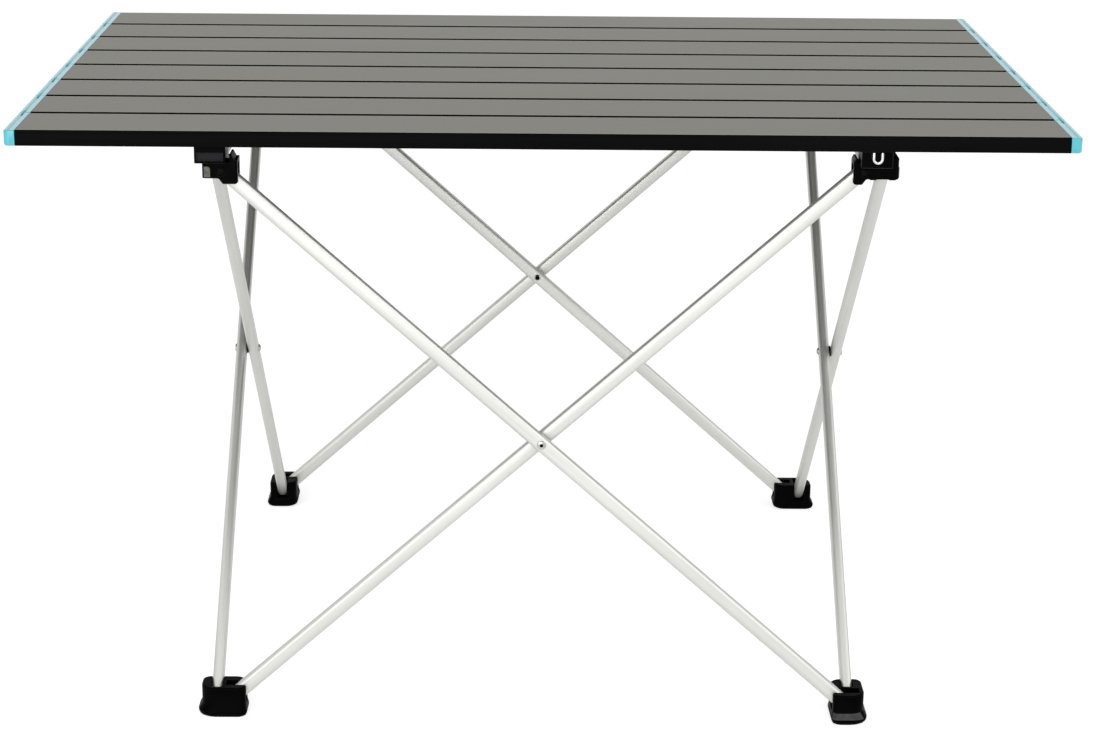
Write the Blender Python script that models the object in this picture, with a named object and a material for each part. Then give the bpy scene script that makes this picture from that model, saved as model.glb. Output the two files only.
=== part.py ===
"""Folding camping table: eight roll-up aluminium slats on a square scissor frame.

Units are metres and +Z is up. The origin is on the floor under the middle of
the top, +X runs along the slats and -Y is the front edge.

The frame has four equal sides. Seen from above, side 0 is the front, side 1 the
right, side 2 the back and side 3 the left. Corner 0 is front left, and each next
corner is a quarter turn on. On each side an outer leg runs from the hub at the
side's first corner down to the foot at its second, and an inner leg crosses it.
"""

import math

import bmesh
import bpy
from mathutils import Matrix, Vector

# The whole table
TABLE_WIDTH = 0.680
TABLE_DEPTH = 0.465
TABLE_HEIGHT = 0.4055
PART_GAP = 0.0003

# Slats: an open-bottomed extrusion with a lip along each lower edge
SLAT_COUNT = 8
SLAT_SPACE = 0.0020
SLAT_THICKNESS = 0.0100
SLAT_TOP_WALL = 0.0011
SLAT_SIDE_WALL = 0.0009
SLAT_LIP = 0.0050
SLAT_TOP_RADIUS = 0.0013
SLAT_FOOT_RADIUS = 0.0006
CORD_HOLE_RADIUS = 0.0022
CORD_INSET = 0.0480

# End caps: a moulded flange with a plug that fills the slat's end
CAP_LENGTH = 0.0072
CAP_CORNER_RADIUS = 0.0034
CAP_NOTCH_RADIUS = 0.0016
CAP_RIM_ROUND = 0.0009
CAP_PLUG_LENGTH = 0.0130
CAP_PLUG_WALL = 0.0020
CAP_PLUG_ROOF = 0.0014

# Leg tubes: flat-sided, with round ends
LEG_WIDTH = 0.0100
LEG_THICKNESS = 0.0075
LEG_WALL = 0.0012
LEG_EDGE_RADIUS = 0.0018
LEG_END_CLEARANCE = 0.0007
FRAME_SETBACK = 0.0183
PIVOT_INSET = 0.0094

# Rivets where two legs cross
RIVET_RADIUS = 0.0018
RIVET_HEAD_RADIUS = 0.0029
RIVET_HEAD_HEIGHT = 0.0011
HEAD_RIM = 0.0004
RIVET_BORE_RADIUS = 0.0008
RIVET_BORE_DEPTH = 0.0016
SPACER_RADIUS = 0.0042
SPACER_THICKNESS = 0.0005

# Hubs under the top's corners
HUB_WALL = 0.0044
HUB_SIDE_WALL = 0.0026
HUB_INNER_WALL = 0.0040
HUB_REACH_LONG = 0.0108
HUB_REACH_SHORT = 0.0070
HUB_BODY_DROP = 0.0042
HUB_LOBE_DROP = 0.0078
HUB_LOBE_START = 0.0082
HUB_LOBE_SLOPE = 0.0025
HUB_LOBE_RADIUS = 0.0014
HUB_LOBE_END_RADIUS = 0.0022
HUB_CORNER_RADIUS = 0.0025
HUB_END_RADIUS = 0.0012
HUB_EDGE_RADIUS = 0.0008
HUB_TRIM_SPARE = 0.0003
SADDLE_WALL = 0.0048
EAR_THICKNESS = 0.0026
EAR_ROOT = 0.0006
EAR_HEIGHT_LONG = 0.0057
EAR_HEIGHT_SHORT = 0.0034

# Pins that hold the upper leg ends, with heads sunk in the hub's walls
PIN_RADIUS = 0.0015
PIN_HEAD_RADIUS = 0.0027
PIN_HEAD_HEIGHT = 0.0012
PIN_HEAD_SINK = 0.0010
PIN_GRIP = 0.0030

# Feet, each with two channels for leg ends
FOOT_HEIGHT = 0.0210
FOOT_FLOOR = 0.0078
FOOT_WALL = 0.0060
FOOT_END_WALL = 0.0030
FOOT_MIDDLE_WALL = 0.0023
FOOT_REACH = 0.0064
FOOT_FLARE = 0.0023
FOOT_INNER_FLARE = 0.0008
FOOT_FLARE_LOW = 0.0032
FOOT_FLARE_TOP = 0.0044
FOOT_FLARE_HIGH = 0.0082
FOOT_SOLE_INSET = 0.0024
FOOT_EDGE_INSET = 0.0008
FOOT_EDGE_HEIGHT = 0.0012
FOOT_TOP_ROUND = 0.0009
FOOT_OUTER_RADIUS = 0.0095
FOOT_SIDE_RADIUS = 0.0040
FOOT_INNER_RADIUS = 0.0070

# Support rails under the slats, with plugged ends that rest on the hubs
RAIL_HEIGHT = 0.0107
RAIL_WIDTH = 0.0174
RAIL_WALL = 0.0010
RAIL_INSET = 0.0032
RAIL_END_WIDTH = 0.0199
RAIL_END_LENGTH = 0.0190
RAIL_END_REACH = 0.0157
RAIL_END_RADIUS = 0.0014
RAIL_PLUG_LENGTH = 0.0140
RAIL_PLUG_ROOT = 0.0020
RECESS_WIDTH = 0.0168
RECESS_HEIGHT = 0.0052
RECESS_DEPTH = 0.0015

# Steel wire loops on two of the rail ends
WIRE_RADIUS = 0.0010
LOOP_RADIUS = 0.0029
LOOP_STRAIGHT = 0.0006
LOOP_BEND_RADIUS = 0.0013
LOOP_DEPTH = 0.0050
LOOP_DROP = 0.0012

# Sides of the round shapes
FINE_SIDES = 16
HOLE_SIDES = 12

# Sizes that follow from the ones above
SLAT_PITCH = (TABLE_DEPTH + SLAT_SPACE) / SLAT_COUNT
SLAT_WIDTH = SLAT_PITCH - SLAT_SPACE
SLAT_BOTTOM = TABLE_HEIGHT - SLAT_THICKNESS
RAIL_TOP = SLAT_BOTTOM - PART_GAP
RAIL_BOTTOM = RAIL_TOP - RAIL_HEIGHT
FRAME_HALF = TABLE_DEPTH / 2 - FRAME_SETBACK
RAIL_END_FACE = FRAME_HALF + RAIL_END_REACH
HUB_TOP = RAIL_BOTTOM - PART_GAP
LEG_END_REACH = LEG_WIDTH / 2 + LEG_END_CLEARANCE
TOP_PIVOT = HUB_TOP - LEG_END_REACH
LOW_PIVOT = FOOT_FLOOR + LEG_END_REACH
HALF_SPAN = FRAME_HALF - PIVOT_INSET
LEG_PIVOTS = math.hypot(2 * HALF_SPAN, TOP_PIVOT - LOW_PIVOT)
LEG_ANGLE = math.atan2(TOP_PIVOT - LOW_PIVOT, 2 * HALF_SPAN)
CROSSING_HEIGHT = (TOP_PIVOT + LOW_PIVOT) / 2
LEG_OFFSET = (LEG_THICKNESS + SPACER_THICKNESS) / 2 + PART_GAP
CHANNEL_HALF = LEG_THICKNESS / 2 + PART_GAP
CHANNEL_START = PIVOT_INSET - LEG_END_REACH
CORNER_NAMES = ("front_left", "front_right", "back_right", "back_left")
SIDE_NAMES = ("front", "right", "back", "left")


def rounded(corners, steps=3):
    """Return a closed outline from corners (u, v, radius); radius 0 stays sharp."""
    points = []
    for index, (u, v, radius) in enumerate(corners):
        here = Vector((u, v))
        if radius == 0:
            points.append(here)
            continue
        back = (Vector(corners[index - 1][:2]) - here).normalized()
        ahead = (Vector(corners[(index + 1) % len(corners)][:2]) - here).normalized()
        half_corner = back.angle(ahead) / 2
        centre = here + (back + ahead).normalized() * radius / math.sin(half_corner)
        start = here + back * radius / math.tan(half_corner) - centre
        end = here + ahead * radius / math.tan(half_corner) - centre
        for step in range(steps + 1):
            points.append(centre + start.slerp(end, step / steps).normalized() * radius)
    return points


def circle(u, v, radius, sides=HOLE_SIDES):
    """Return the outline of a circle, with a flat side at its top and bottom."""
    points = []
    for side in range(sides):
        turn = 2 * math.pi * (side + 0.5) / sides
        points.append(Vector((u + radius * math.cos(turn), v + radius * math.sin(turn))))
    return points


def block_outline(low_u, high_u, low_v, high_v):
    """Return the outline of a plain rectangle."""
    corners = ((low_u, low_v), (high_u, low_v), (high_u, high_v), (low_u, high_v))
    return [Vector(corner) for corner in corners]


def turn_to_axis(u, v, along, axis):
    """Place outline coordinates (u, v) in the plane that an axis crosses."""
    if axis == "X":
        return Vector((along, u, v))
    if axis == "Y":
        return Vector((u, along, v))
    return Vector((u, v, along))


def layered(layers, axis="Z"):
    """Return a closed mesh through a stack of outlines, each given as (outline, height)."""
    shape = bmesh.new()
    rings = []
    for outline, along in layers:
        rings.append([shape.verts.new(turn_to_axis(p.x, p.y, along, axis)) for p in outline])
    for lower, upper in zip(rings, rings[1:]):
        for index in range(len(lower)):
            following = (index + 1) % len(lower)
            shape.faces.new((lower[index], lower[following], upper[following], upper[index]))
    shape.faces.new(rings[0])
    shape.faces.new(rings[-1])
    bmesh.ops.recalc_face_normals(shape, faces=shape.faces)
    return work_object(shape)


def prism(outline, low, high, axis="Z"):
    """Return a closed mesh of one outline pushed from low to high along an axis."""
    return layered([(outline, low), (outline, high)], axis)


def turned(profile, axis="Z", sides=FINE_SIDES):
    """Return a closed mesh of a profile (radius, height) spun about the Z or Y axis."""
    shape = bmesh.new()
    points = [shape.verts.new((radius, 0, height)) for radius, height in profile]
    for first, second in zip(points, points[1:]):
        shape.edges.new((first, second))
    bmesh.ops.spin(shape, geom=shape.verts[:] + shape.edges[:], cent=(0, 0, 0), axis=(0, 0, 1),
                   angle=2 * math.pi, steps=sides, use_merge=True)
    bmesh.ops.remove_doubles(shape, verts=shape.verts, dist=1e-6)
    if axis == "Y":
        bmesh.ops.rotate(shape, verts=shape.verts, matrix=Matrix.Rotation(-math.pi / 2, 3, "X"))
    bmesh.ops.recalc_face_normals(shape, faces=shape.faces)
    return work_object(shape)


def work_object(shape):
    """Turn a bmesh into a helper object for the Boolean steps."""
    mesh = bpy.data.meshes.new("work")
    shape.to_mesh(mesh)
    shape.free()
    helper = bpy.data.objects.new("work", mesh)
    helper.hide_render = True
    helper.display_type = "WIRE"
    bpy.context.scene.collection.objects.link(helper)
    return helper


def finished(name, base, added=(), removed=(), kept=None, bevel=None):
    """Join, cut and trim helper objects and return the resulting mesh.

    kept is a helper whose inside is all that stays, and bevel is a width and a
    number of segments for the base's edges.
    """
    if bevel:
        rounding = base.modifiers.new("rounding", "BEVEL")
        rounding.width, rounding.segments = bevel
        rounding.limit_method = "ANGLE"
        rounding.angle_limit = math.radians(50)
    steps = [("UNION", tool) for tool in added]
    if kept:
        steps.append(("INTERSECT", kept))
    steps += [("DIFFERENCE", tool) for tool in removed]
    for operation, tool in steps:
        step = base.modifiers.new(operation.lower(), "BOOLEAN")
        step.operation = operation
        step.object = tool
        step.solver = "EXACT"
    graph = bpy.context.evaluated_depsgraph_get()
    mesh = bpy.data.meshes.new_from_object(base.evaluated_get(graph))
    mesh.name = name
    mesh.shade_smooth()
    mesh.set_sharp_from_angle(angle=math.radians(35))
    for helper in [base] + [tool for operation, tool in steps]:
        bpy.data.objects.remove(helper)
    return mesh


def merge_points(mesh):
    """Merge points that lie on each other, as where two arcs or a tube and its cap meet."""
    shape = bmesh.new()
    shape.from_mesh(mesh)
    bmesh.ops.remove_doubles(shape, verts=shape.verts, dist=1e-6)
    shape.to_mesh(mesh)
    shape.free()


def slat_mesh(name, hole_sides):
    """Return an extruded slat, with cord holes in the side walls named by -1 and 1."""
    half = SLAT_WIDTH / 2
    wall = SLAT_SIDE_WALL
    lip_end = half - SLAT_LIP
    ceiling = SLAT_THICKNESS - SLAT_TOP_WALL
    profile = rounded([
        (-lip_end, 0, 0),
        (-lip_end, wall, 0),
        (-half + wall, wall, 0),
        (-half + wall, ceiling, 0),
        (half - wall, ceiling, 0),
        (half - wall, wall, 0),
        (lip_end, wall, 0),
        (lip_end, 0, 0),
        (half, 0, SLAT_FOOT_RADIUS),
        (half, SLAT_THICKNESS, SLAT_TOP_RADIUS),
        (-half, SLAT_THICKNESS, SLAT_TOP_RADIUS),
        (-half, 0, SLAT_FOOT_RADIUS),
    ], steps=2)
    reach = TABLE_WIDTH / 2 - CAP_LENGTH - PART_GAP
    holes = []
    for side in hole_sides:
        for end in (-1, 1):
            outline = circle(end * (TABLE_WIDTH / 2 - CORD_INSET), SLAT_THICKNESS / 2, CORD_HOLE_RADIUS)
            edge = side * half
            holes.append(prism(outline, edge - 2 * wall, edge + 2 * wall, "Y"))
    return finished(name, prism(profile, -reach, reach, "X"), removed=holes)


def cap_outline(low_half, high_half, low_radius, high_radius, inset):
    """Return an end cap's plan for a right end, drawn in by an inset except where it meets the slat."""
    return rounded([
        (-CAP_LENGTH, -low_half + inset, 0),
        (-inset, -low_half + inset, low_radius),
        (-inset, high_half - inset, high_radius),
        (-CAP_LENGTH, high_half - inset, 0),
    ])


def cap_mesh(name, low_side_free, high_side_free):
    """Return the end cap for a slat's right end, with its outer face at x = 0.

    A side with a neighbour reaches half way over the gap to it. A free side, at
    the front or back of the table, ends flush with the slat under a large radius.
    """
    widths = {True: SLAT_WIDTH / 2, False: (SLAT_PITCH - PART_GAP) / 2}
    radii = {True: CAP_CORNER_RADIUS, False: CAP_NOTCH_RADIUS}
    sides = (widths[low_side_free], widths[high_side_free], radii[low_side_free], radii[high_side_free])
    drawn_in = cap_outline(*sides, CAP_RIM_ROUND)
    full = cap_outline(*sides, 0)
    flange = layered([
        (drawn_in, 0),
        (full, CAP_RIM_ROUND),
        (full, SLAT_THICKNESS - CAP_RIM_ROUND),
        (drawn_in, SLAT_THICKNESS),
    ])
    plug_half = SLAT_WIDTH / 2 - SLAT_SIDE_WALL - PART_GAP
    plug_end = -CAP_LENGTH - CAP_PLUG_LENGTH
    plug_low = SLAT_SIDE_WALL + PART_GAP
    plug_high = SLAT_THICKNESS - SLAT_TOP_WALL - PART_GAP
    plug_plan = block_outline(plug_end, -CAP_LENGTH / 2, -plug_half, plug_half)
    hollow_half = plug_half - CAP_PLUG_WALL
    hollow_start = -CAP_LENGTH - CAP_PLUG_WALL
    hollow_plan = block_outline(plug_end - CAP_PLUG_WALL, hollow_start, -hollow_half, hollow_half)
    hollow = prism(hollow_plan, 0, plug_high - CAP_PLUG_ROOF)
    return finished(name, flange, added=[prism(plug_plan, plug_low, plug_high)], removed=[hollow])


def rail_mesh():
    """Return the rail's rectangular tube, centred under the top, bottom at z = 0."""
    half = RAIL_WIDTH / 2
    reach = RAIL_END_FACE - RAIL_END_LENGTH - PART_GAP
    bar = prism(block_outline(-half, half, 0, RAIL_HEIGHT), -reach, reach, "Y")
    bore = prism(block_outline(-half + RAIL_WALL, half - RAIL_WALL, RAIL_WALL, RAIL_HEIGHT - RAIL_WALL),
                 -reach - RAIL_WALL, reach + RAIL_WALL, "Y")
    return finished("support_rail", bar, removed=[bore])


def rail_end_mesh(name, has_loop):
    """Return the rail end for a front corner, on its rail's centre line, bottom at z = 0."""
    half = RAIL_END_WIDTH / 2
    face = -RAIL_END_FACE
    plan = rounded([
        (-half, face, RAIL_END_RADIUS),
        (half, face, RAIL_END_RADIUS),
        (half, face + RAIL_END_LENGTH, 0),
        (-half, face + RAIL_END_LENGTH, 0),
    ])
    plug_half = RAIL_WIDTH / 2 - RAIL_WALL - PART_GAP
    plug_low = RAIL_WALL + PART_GAP
    plug_start = face + RAIL_END_LENGTH
    plug = prism(block_outline(-plug_half, plug_half, plug_low, RAIL_HEIGHT - plug_low),
                 plug_start - RAIL_PLUG_ROOT, plug_start + RAIL_PLUG_LENGTH, "Y")
    cuts = []
    if has_loop:
        for side in (-1, 1):
            hole = circle(side * LOOP_RADIUS, RAIL_HEIGHT - LOOP_DROP - WIRE_RADIUS, WIRE_RADIUS + PART_GAP)
            cuts.append(prism(hole, face - LOOP_DEPTH, face + LOOP_DEPTH + PART_GAP, "Y"))
    else:
        middle = RAIL_HEIGHT / 2
        recess = block_outline(-RECESS_WIDTH / 2, RECESS_WIDTH / 2,
                               middle - RECESS_HEIGHT / 2, middle + RECESS_HEIGHT / 2)
        cuts.append(prism(recess, face - RECESS_DEPTH, face + RECESS_DEPTH, "Y"))
    return finished(name, prism(plan, 0, RAIL_HEIGHT), added=[plug], removed=cuts)


def wire_loop_mesh():
    """Return the steel loop of a front rail end: two legs out of the block and a U in front."""
    face = -RAIL_END_FACE
    front = face - WIRE_RADIUS - PART_GAP
    level = RAIL_HEIGHT - LOOP_DROP - WIRE_RADIUS
    bend_centre = Vector((front + LOOP_BEND_RADIUS, level - LOOP_BEND_RADIUS))
    half = [Vector((LOOP_RADIUS, face + LOOP_DEPTH, level))]
    for step in range(4):
        turn = math.pi / 2 * (1 + step / 3)
        half.append(Vector((LOOP_RADIUS,
                            bend_centre.x + LOOP_BEND_RADIUS * math.cos(turn),
                            bend_centre.y + LOOP_BEND_RADIUS * math.sin(turn))))
    low = bend_centre.y - LOOP_STRAIGHT
    for step in range(5):
        turn = math.pi / 2 * step / 4
        half.append(Vector((LOOP_RADIUS * math.cos(turn), front, low - LOOP_RADIUS * math.sin(turn))))
    route = half + [Vector((-p.x, p.y, p.z)) for p in reversed(half[:-1])]
    curve = bpy.data.curves.new("wire_loop", "CURVE")
    curve.dimensions = "3D"
    curve.bevel_depth = WIRE_RADIUS
    curve.bevel_resolution = 2
    curve.use_fill_caps = True
    spline = curve.splines.new("POLY")
    spline.points.add(len(route) - 1)
    for point, place in zip(spline.points, route):
        point.co = (place.x, place.y, place.z, 1)
    wire = bpy.data.objects.new("work", curve)
    bpy.context.scene.collection.objects.link(wire)
    mesh = finished("wire_loop", wire)
    merge_points(mesh)
    return mesh


def leg_mesh():
    """Return one leg tube along X with its crossing hole at the origin, flat sides facing Y."""
    half = LEG_PIVOTS / 2
    radius = LEG_WIDTH / 2
    outline = rounded([
        (-half - radius, -radius, radius),
        (half + radius, -radius, radius),
        (half + radius, radius, radius),
        (-half - radius, radius, radius),
    ], steps=4)
    bar = prism(outline, -LEG_THICKNESS / 2, LEG_THICKNESS / 2, "Y")
    merge_points(bar.data)
    bore_y = LEG_THICKNESS / 2 - LEG_WALL
    bore_z = radius - LEG_WALL
    bore = prism(block_outline(-bore_y, bore_y, -bore_z, bore_z), -half - LEG_WIDTH, half + LEG_WIDTH, "X")
    cuts = [bore]
    for along, hole in ((-half, PIN_RADIUS), (0, RIVET_RADIUS), (half, PIN_RADIUS)):
        cuts.append(prism(circle(along, 0, hole + PART_GAP), -LEG_THICKNESS, LEG_THICKNESS, "Y"))
    return finished("leg", bar, removed=cuts, bevel=(LEG_EDGE_RADIUS, 2))


def head_profile(radius, height, start):
    """Return the points of a low head from its underside at start: a plain rim, then most of a dome."""
    points = [(radius, start), (radius, start + HEAD_RIM)]
    for step in (1, 2):
        turn = math.pi / 2 * step / 3
        points.append((radius * math.cos(turn), start + HEAD_RIM + (height - HEAD_RIM) * math.sin(turn)))
    return points


def rivet_mesh():
    """Return a crossing rivet along Y: two drilled heads, a shank and the spacer collar."""
    under_head = LEG_OFFSET + LEG_THICKNESS / 2 + PART_GAP
    top = under_head + RIVET_HEAD_HEIGHT
    collar = SPACER_THICKNESS / 2
    bore_end = top - RIVET_BORE_DEPTH
    half = [(0, bore_end), (RIVET_BORE_RADIUS, bore_end), (RIVET_BORE_RADIUS, top)]
    half += list(reversed(head_profile(RIVET_HEAD_RADIUS, RIVET_HEAD_HEIGHT, under_head)))
    half += [(RIVET_RADIUS, under_head), (RIVET_RADIUS, collar), (SPACER_RADIUS, collar)]
    profile = half + [(radius, -height) for radius, height in reversed(half)]
    return finished("crossing_rivet", turned(profile, "Y"))


def pin_mesh(name, wall):
    """Return a hub pin along +Z through an outer wall, whose face is at z = 0."""
    head_top = -PIN_HEAD_SINK + PIN_HEAD_HEIGHT
    tip = -(wall + 2 * CHANNEL_HALF + PIN_GRIP)
    under_head = head_top - PIN_HEAD_HEIGHT
    profile = [(0, tip), (PIN_RADIUS, tip), (PIN_RADIUS, under_head)]
    profile += head_profile(PIN_HEAD_RADIUS, PIN_HEAD_HEIGHT, under_head)
    profile.append((0, head_top))
    return finished(name, turned(profile))


def lobed_outline(low, high, spare):
    """Return a hub arm seen from its side: a raised body outboard and a lobe round the pivot.

    The outline runs past both ends by a spare length, which the hub's plan trims off.
    """
    top = LEG_END_REACH
    return rounded([
        (low - spare, top, 0),
        (low - spare, -HUB_BODY_DROP, 0),
        (HUB_LOBE_START, -HUB_BODY_DROP, HUB_LOBE_RADIUS),
        (HUB_LOBE_START + HUB_LOBE_SLOPE, -HUB_LOBE_DROP, HUB_LOBE_RADIUS),
        (high + spare, -HUB_LOBE_DROP, HUB_LOBE_END_RADIUS),
        (high + spare, top, 0),
    ])


def hub_mesh(name, ear_on_long_arm):
    """Return the front left hub, with its corner of the frame at x = y = 0, pivots at z = 0.

    The long arm along +X holds the outer leg of the front side. The short arm
    along +Y holds the inner leg of the left side.
    """
    outer_x = LEG_OFFSET - CHANNEL_HALF - HUB_SIDE_WALL
    outer_y = -LEG_OFFSET - CHANNEL_HALF - HUB_WALL
    long_end = PIVOT_INSET + HUB_REACH_LONG
    short_end = PIVOT_INSET + HUB_REACH_SHORT
    short_side = LEG_OFFSET + CHANNEL_HALF + HUB_INNER_WALL
    top = LEG_END_REACH
    bottom = -HUB_LOBE_DROP
    plan = rounded([
        (outer_x, outer_y, HUB_CORNER_RADIUS),
        (long_end, outer_y, HUB_END_RADIUS),
        (long_end, CHANNEL_START, HUB_EDGE_RADIUS),
        (short_side, CHANNEL_START, 0),
        (short_side, short_end, HUB_EDGE_RADIUS),
        (outer_x, short_end, HUB_END_RADIUS),
    ])
    spare = HUB_TRIM_SPARE
    long_arm = prism(lobed_outline(outer_x, long_end, spare), outer_y - spare, CHANNEL_START + spare, "Y")
    short_arm = prism(lobed_outline(outer_y, short_end, spare), outer_x - spare, short_side + spare, "X")
    trim = prism(plan, 2 * bottom, 2 * top)
    long_channel = block_outline(CHANNEL_START, long_end + spare,
                                 -LEG_OFFSET - CHANNEL_HALF, -LEG_OFFSET + CHANNEL_HALF)
    short_channel = block_outline(LEG_OFFSET - CHANNEL_HALF, LEG_OFFSET + CHANNEL_HALF,
                                  CHANNEL_START, short_end + spare)
    cuts = [prism(long_channel, 2 * bottom, 2 * top), prism(short_channel, 2 * bottom, 2 * top)]
    for axis, face, wall in (("Y", outer_y, HUB_WALL), ("X", outer_x, HUB_SIDE_WALL)):
        depth = wall + 2 * CHANNEL_HALF + PIN_GRIP + PART_GAP
        sink = PIN_HEAD_SINK + PART_GAP
        for radius, reach in ((PIN_RADIUS, depth), (PIN_HEAD_RADIUS, sink)):
            cuts.append(prism(circle(PIVOT_INSET, 0, radius + PART_GAP), face - spare, face + reach, axis))
    body = finished("hub_body", long_arm, added=[short_arm], kept=trim, removed=cuts)
    base = bpy.data.objects.new("work", body)
    bpy.context.scene.collection.objects.link(base)
    if ear_on_long_arm:
        ear_plan = rounded([
            (long_end - EAR_THICKNESS, outer_y, 0),
            (long_end, outer_y, HUB_END_RADIUS),
            (long_end, CHANNEL_START, HUB_EDGE_RADIUS),
            (long_end - EAR_THICKNESS, CHANNEL_START, 0),
        ])
        raised = [prism(ear_plan, top - EAR_ROOT, top + EAR_HEIGHT_LONG)]
    else:
        ear_plan = rounded([
            (outer_x, short_end - EAR_THICKNESS, 0),
            (short_side, short_end - EAR_THICKNESS, 0),
            (short_side, short_end, HUB_EDGE_RADIUS),
            (outer_x, short_end, HUB_END_RADIUS),
        ])
        saddle_plan = rounded([
            (outer_x, outer_y, HUB_CORNER_RADIUS),
            (long_end, outer_y, HUB_END_RADIUS),
            (long_end, outer_y + SADDLE_WALL, HUB_EDGE_RADIUS),
            (outer_x, outer_y + SADDLE_WALL, HUB_EDGE_RADIUS),
        ])
        raised = [prism(plan, top - EAR_ROOT, top + EAR_HEIGHT_SHORT) for plan in (ear_plan, saddle_plan)]
    return finished(name, base, added=raised)


def foot_outline(flare, inner_flare, inset=0):
    """Return the front left foot's plan with its sides spread by a flare and drawn in by an inset."""
    low_x = -LEG_OFFSET - CHANNEL_HALF - FOOT_WALL - flare + inset
    low_y = LEG_OFFSET - CHANNEL_HALF - FOOT_WALL - flare + inset
    high = PIVOT_INSET + FOOT_REACH + inner_flare - inset
    return rounded([
        (low_x, low_y, FOOT_OUTER_RADIUS),
        (high, low_y, FOOT_SIDE_RADIUS),
        (high, high, FOOT_INNER_RADIUS),
        (low_x, high, FOOT_SIDE_RADIUS),
    ], steps=4)


def foot_mesh():
    """Return the front left foot, with its corner of the frame at x = y = 0, sole at z = 0."""
    body = layered([
        (foot_outline(FOOT_FLARE, FOOT_INNER_FLARE, FOOT_SOLE_INSET), 0),
        (foot_outline(FOOT_FLARE, FOOT_INNER_FLARE, FOOT_EDGE_INSET), FOOT_EDGE_HEIGHT),
        (foot_outline(FOOT_FLARE, FOOT_INNER_FLARE), FOOT_FLARE_LOW),
        (foot_outline(FOOT_FLARE, FOOT_INNER_FLARE), FOOT_FLARE_TOP),
        (foot_outline(0, 0), FOOT_FLARE_HIGH),
        (foot_outline(0, 0), FOOT_HEIGHT - FOOT_TOP_ROUND),
        (foot_outline(0, 0, FOOT_TOP_ROUND), FOOT_HEIGHT),
    ])
    end = PIVOT_INSET + FOOT_REACH + 2 * FOOT_FLARE
    outer_start = LEG_OFFSET - CHANNEL_HALF - FOOT_WALL + FOOT_END_WALL
    inner_start = CHANNEL_HALF - LEG_OFFSET + FOOT_MIDDLE_WALL
    inner_channel = block_outline(inner_start, end, LEG_OFFSET - CHANNEL_HALF, LEG_OFFSET + CHANNEL_HALF)
    outer_channel = block_outline(-LEG_OFFSET - CHANNEL_HALF, -LEG_OFFSET + CHANNEL_HALF, outer_start, end)
    cuts = [prism(channel, FOOT_FLOOR, 2 * FOOT_HEIGHT) for channel in (inner_channel, outer_channel)]
    shell = finished("foot_body", body, removed=cuts)
    base = bpy.data.objects.new("work", shell)
    bpy.context.scene.collection.objects.link(base)
    pins = []
    for axis, middle in (("Y", LEG_OFFSET), ("X", -LEG_OFFSET)):
        outline = circle(PIVOT_INSET, LOW_PIVOT, PIN_RADIUS)
        pins.append(prism(outline, middle - CHANNEL_HALF - PIN_GRIP, middle + CHANNEL_HALF + PIN_GRIP, axis))
    return finished("foot", base, added=pins)


def make_material(name, colour, roughness, metallic):
    """Return a Principled material from a linear colour."""
    material = bpy.data.materials.new(name)
    material.use_nodes = True
    shader = material.node_tree.nodes["Principled BSDF"]
    shader.inputs["Base Color"].default_value = (*colour, 1)
    shader.inputs["Roughness"].default_value = roughness
    shader.inputs["Metallic"].default_value = metallic
    return material


def make_materials():
    """Return the table's materials by name."""
    return {
        "slat": make_material("grey_anodised_aluminium", (0.20, 0.20, 0.18), 0.45, 0.8),
        "cap": make_material("blue_moulded_plastic", (0.06, 0.52, 0.72), 0.4, 0.0),
        "leg": make_material("silver_anodised_aluminium", (0.78, 0.78, 0.77), 0.35, 1.0),
        "plastic": make_material("black_moulded_nylon", (0.015, 0.015, 0.016), 0.45, 0.0),
        "rubber": make_material("black_rubbery_foot", (0.018, 0.018, 0.018), 0.6, 0.0),
        "steel": make_material("bright_steel", (0.65, 0.65, 0.66), 0.25, 1.0),
        "pin": make_material("dark_steel", (0.12, 0.12, 0.12), 0.35, 1.0),
        "rail": make_material("black_anodised_aluminium", (0.05, 0.05, 0.05), 0.4, 0.8),
    }


def side_point(side, x, y, z):
    """Return a point of the front side turned on to another side of the frame."""
    return Matrix.Rotation(math.pi / 2 * side, 4, "Z") @ Vector((x, y, z))


def make_body(name, place, parent=None):
    """Return an empty on the joint axis of a moving body, under its parent body's empty."""
    body = bpy.data.objects.new("body_" + name, None)
    body.empty_display_size = 0.01
    body.location = place
    bpy.context.scene.collection.objects.link(body)
    if parent:
        body.parent = parent
        body.location = Vector(place) - world_place(parent)
    return body


def world_place(body):
    """Return where a body's empty stands, adding up the empties above it."""
    place = Vector((0, 0, 0))
    while body:
        place = place + body.location
        body = body.parent
    return place


def put(name, mesh, material, body, matrix):
    """Add one named sub-part at a world matrix, carried by a body's empty."""
    piece = bpy.data.objects.new(name, mesh)
    if not mesh.materials:
        mesh.materials.append(material)
    bpy.context.scene.collection.objects.link(piece)
    piece.parent = body
    piece.matrix_local = Matrix.Translation(-world_place(body)) @ matrix
    return piece


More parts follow.
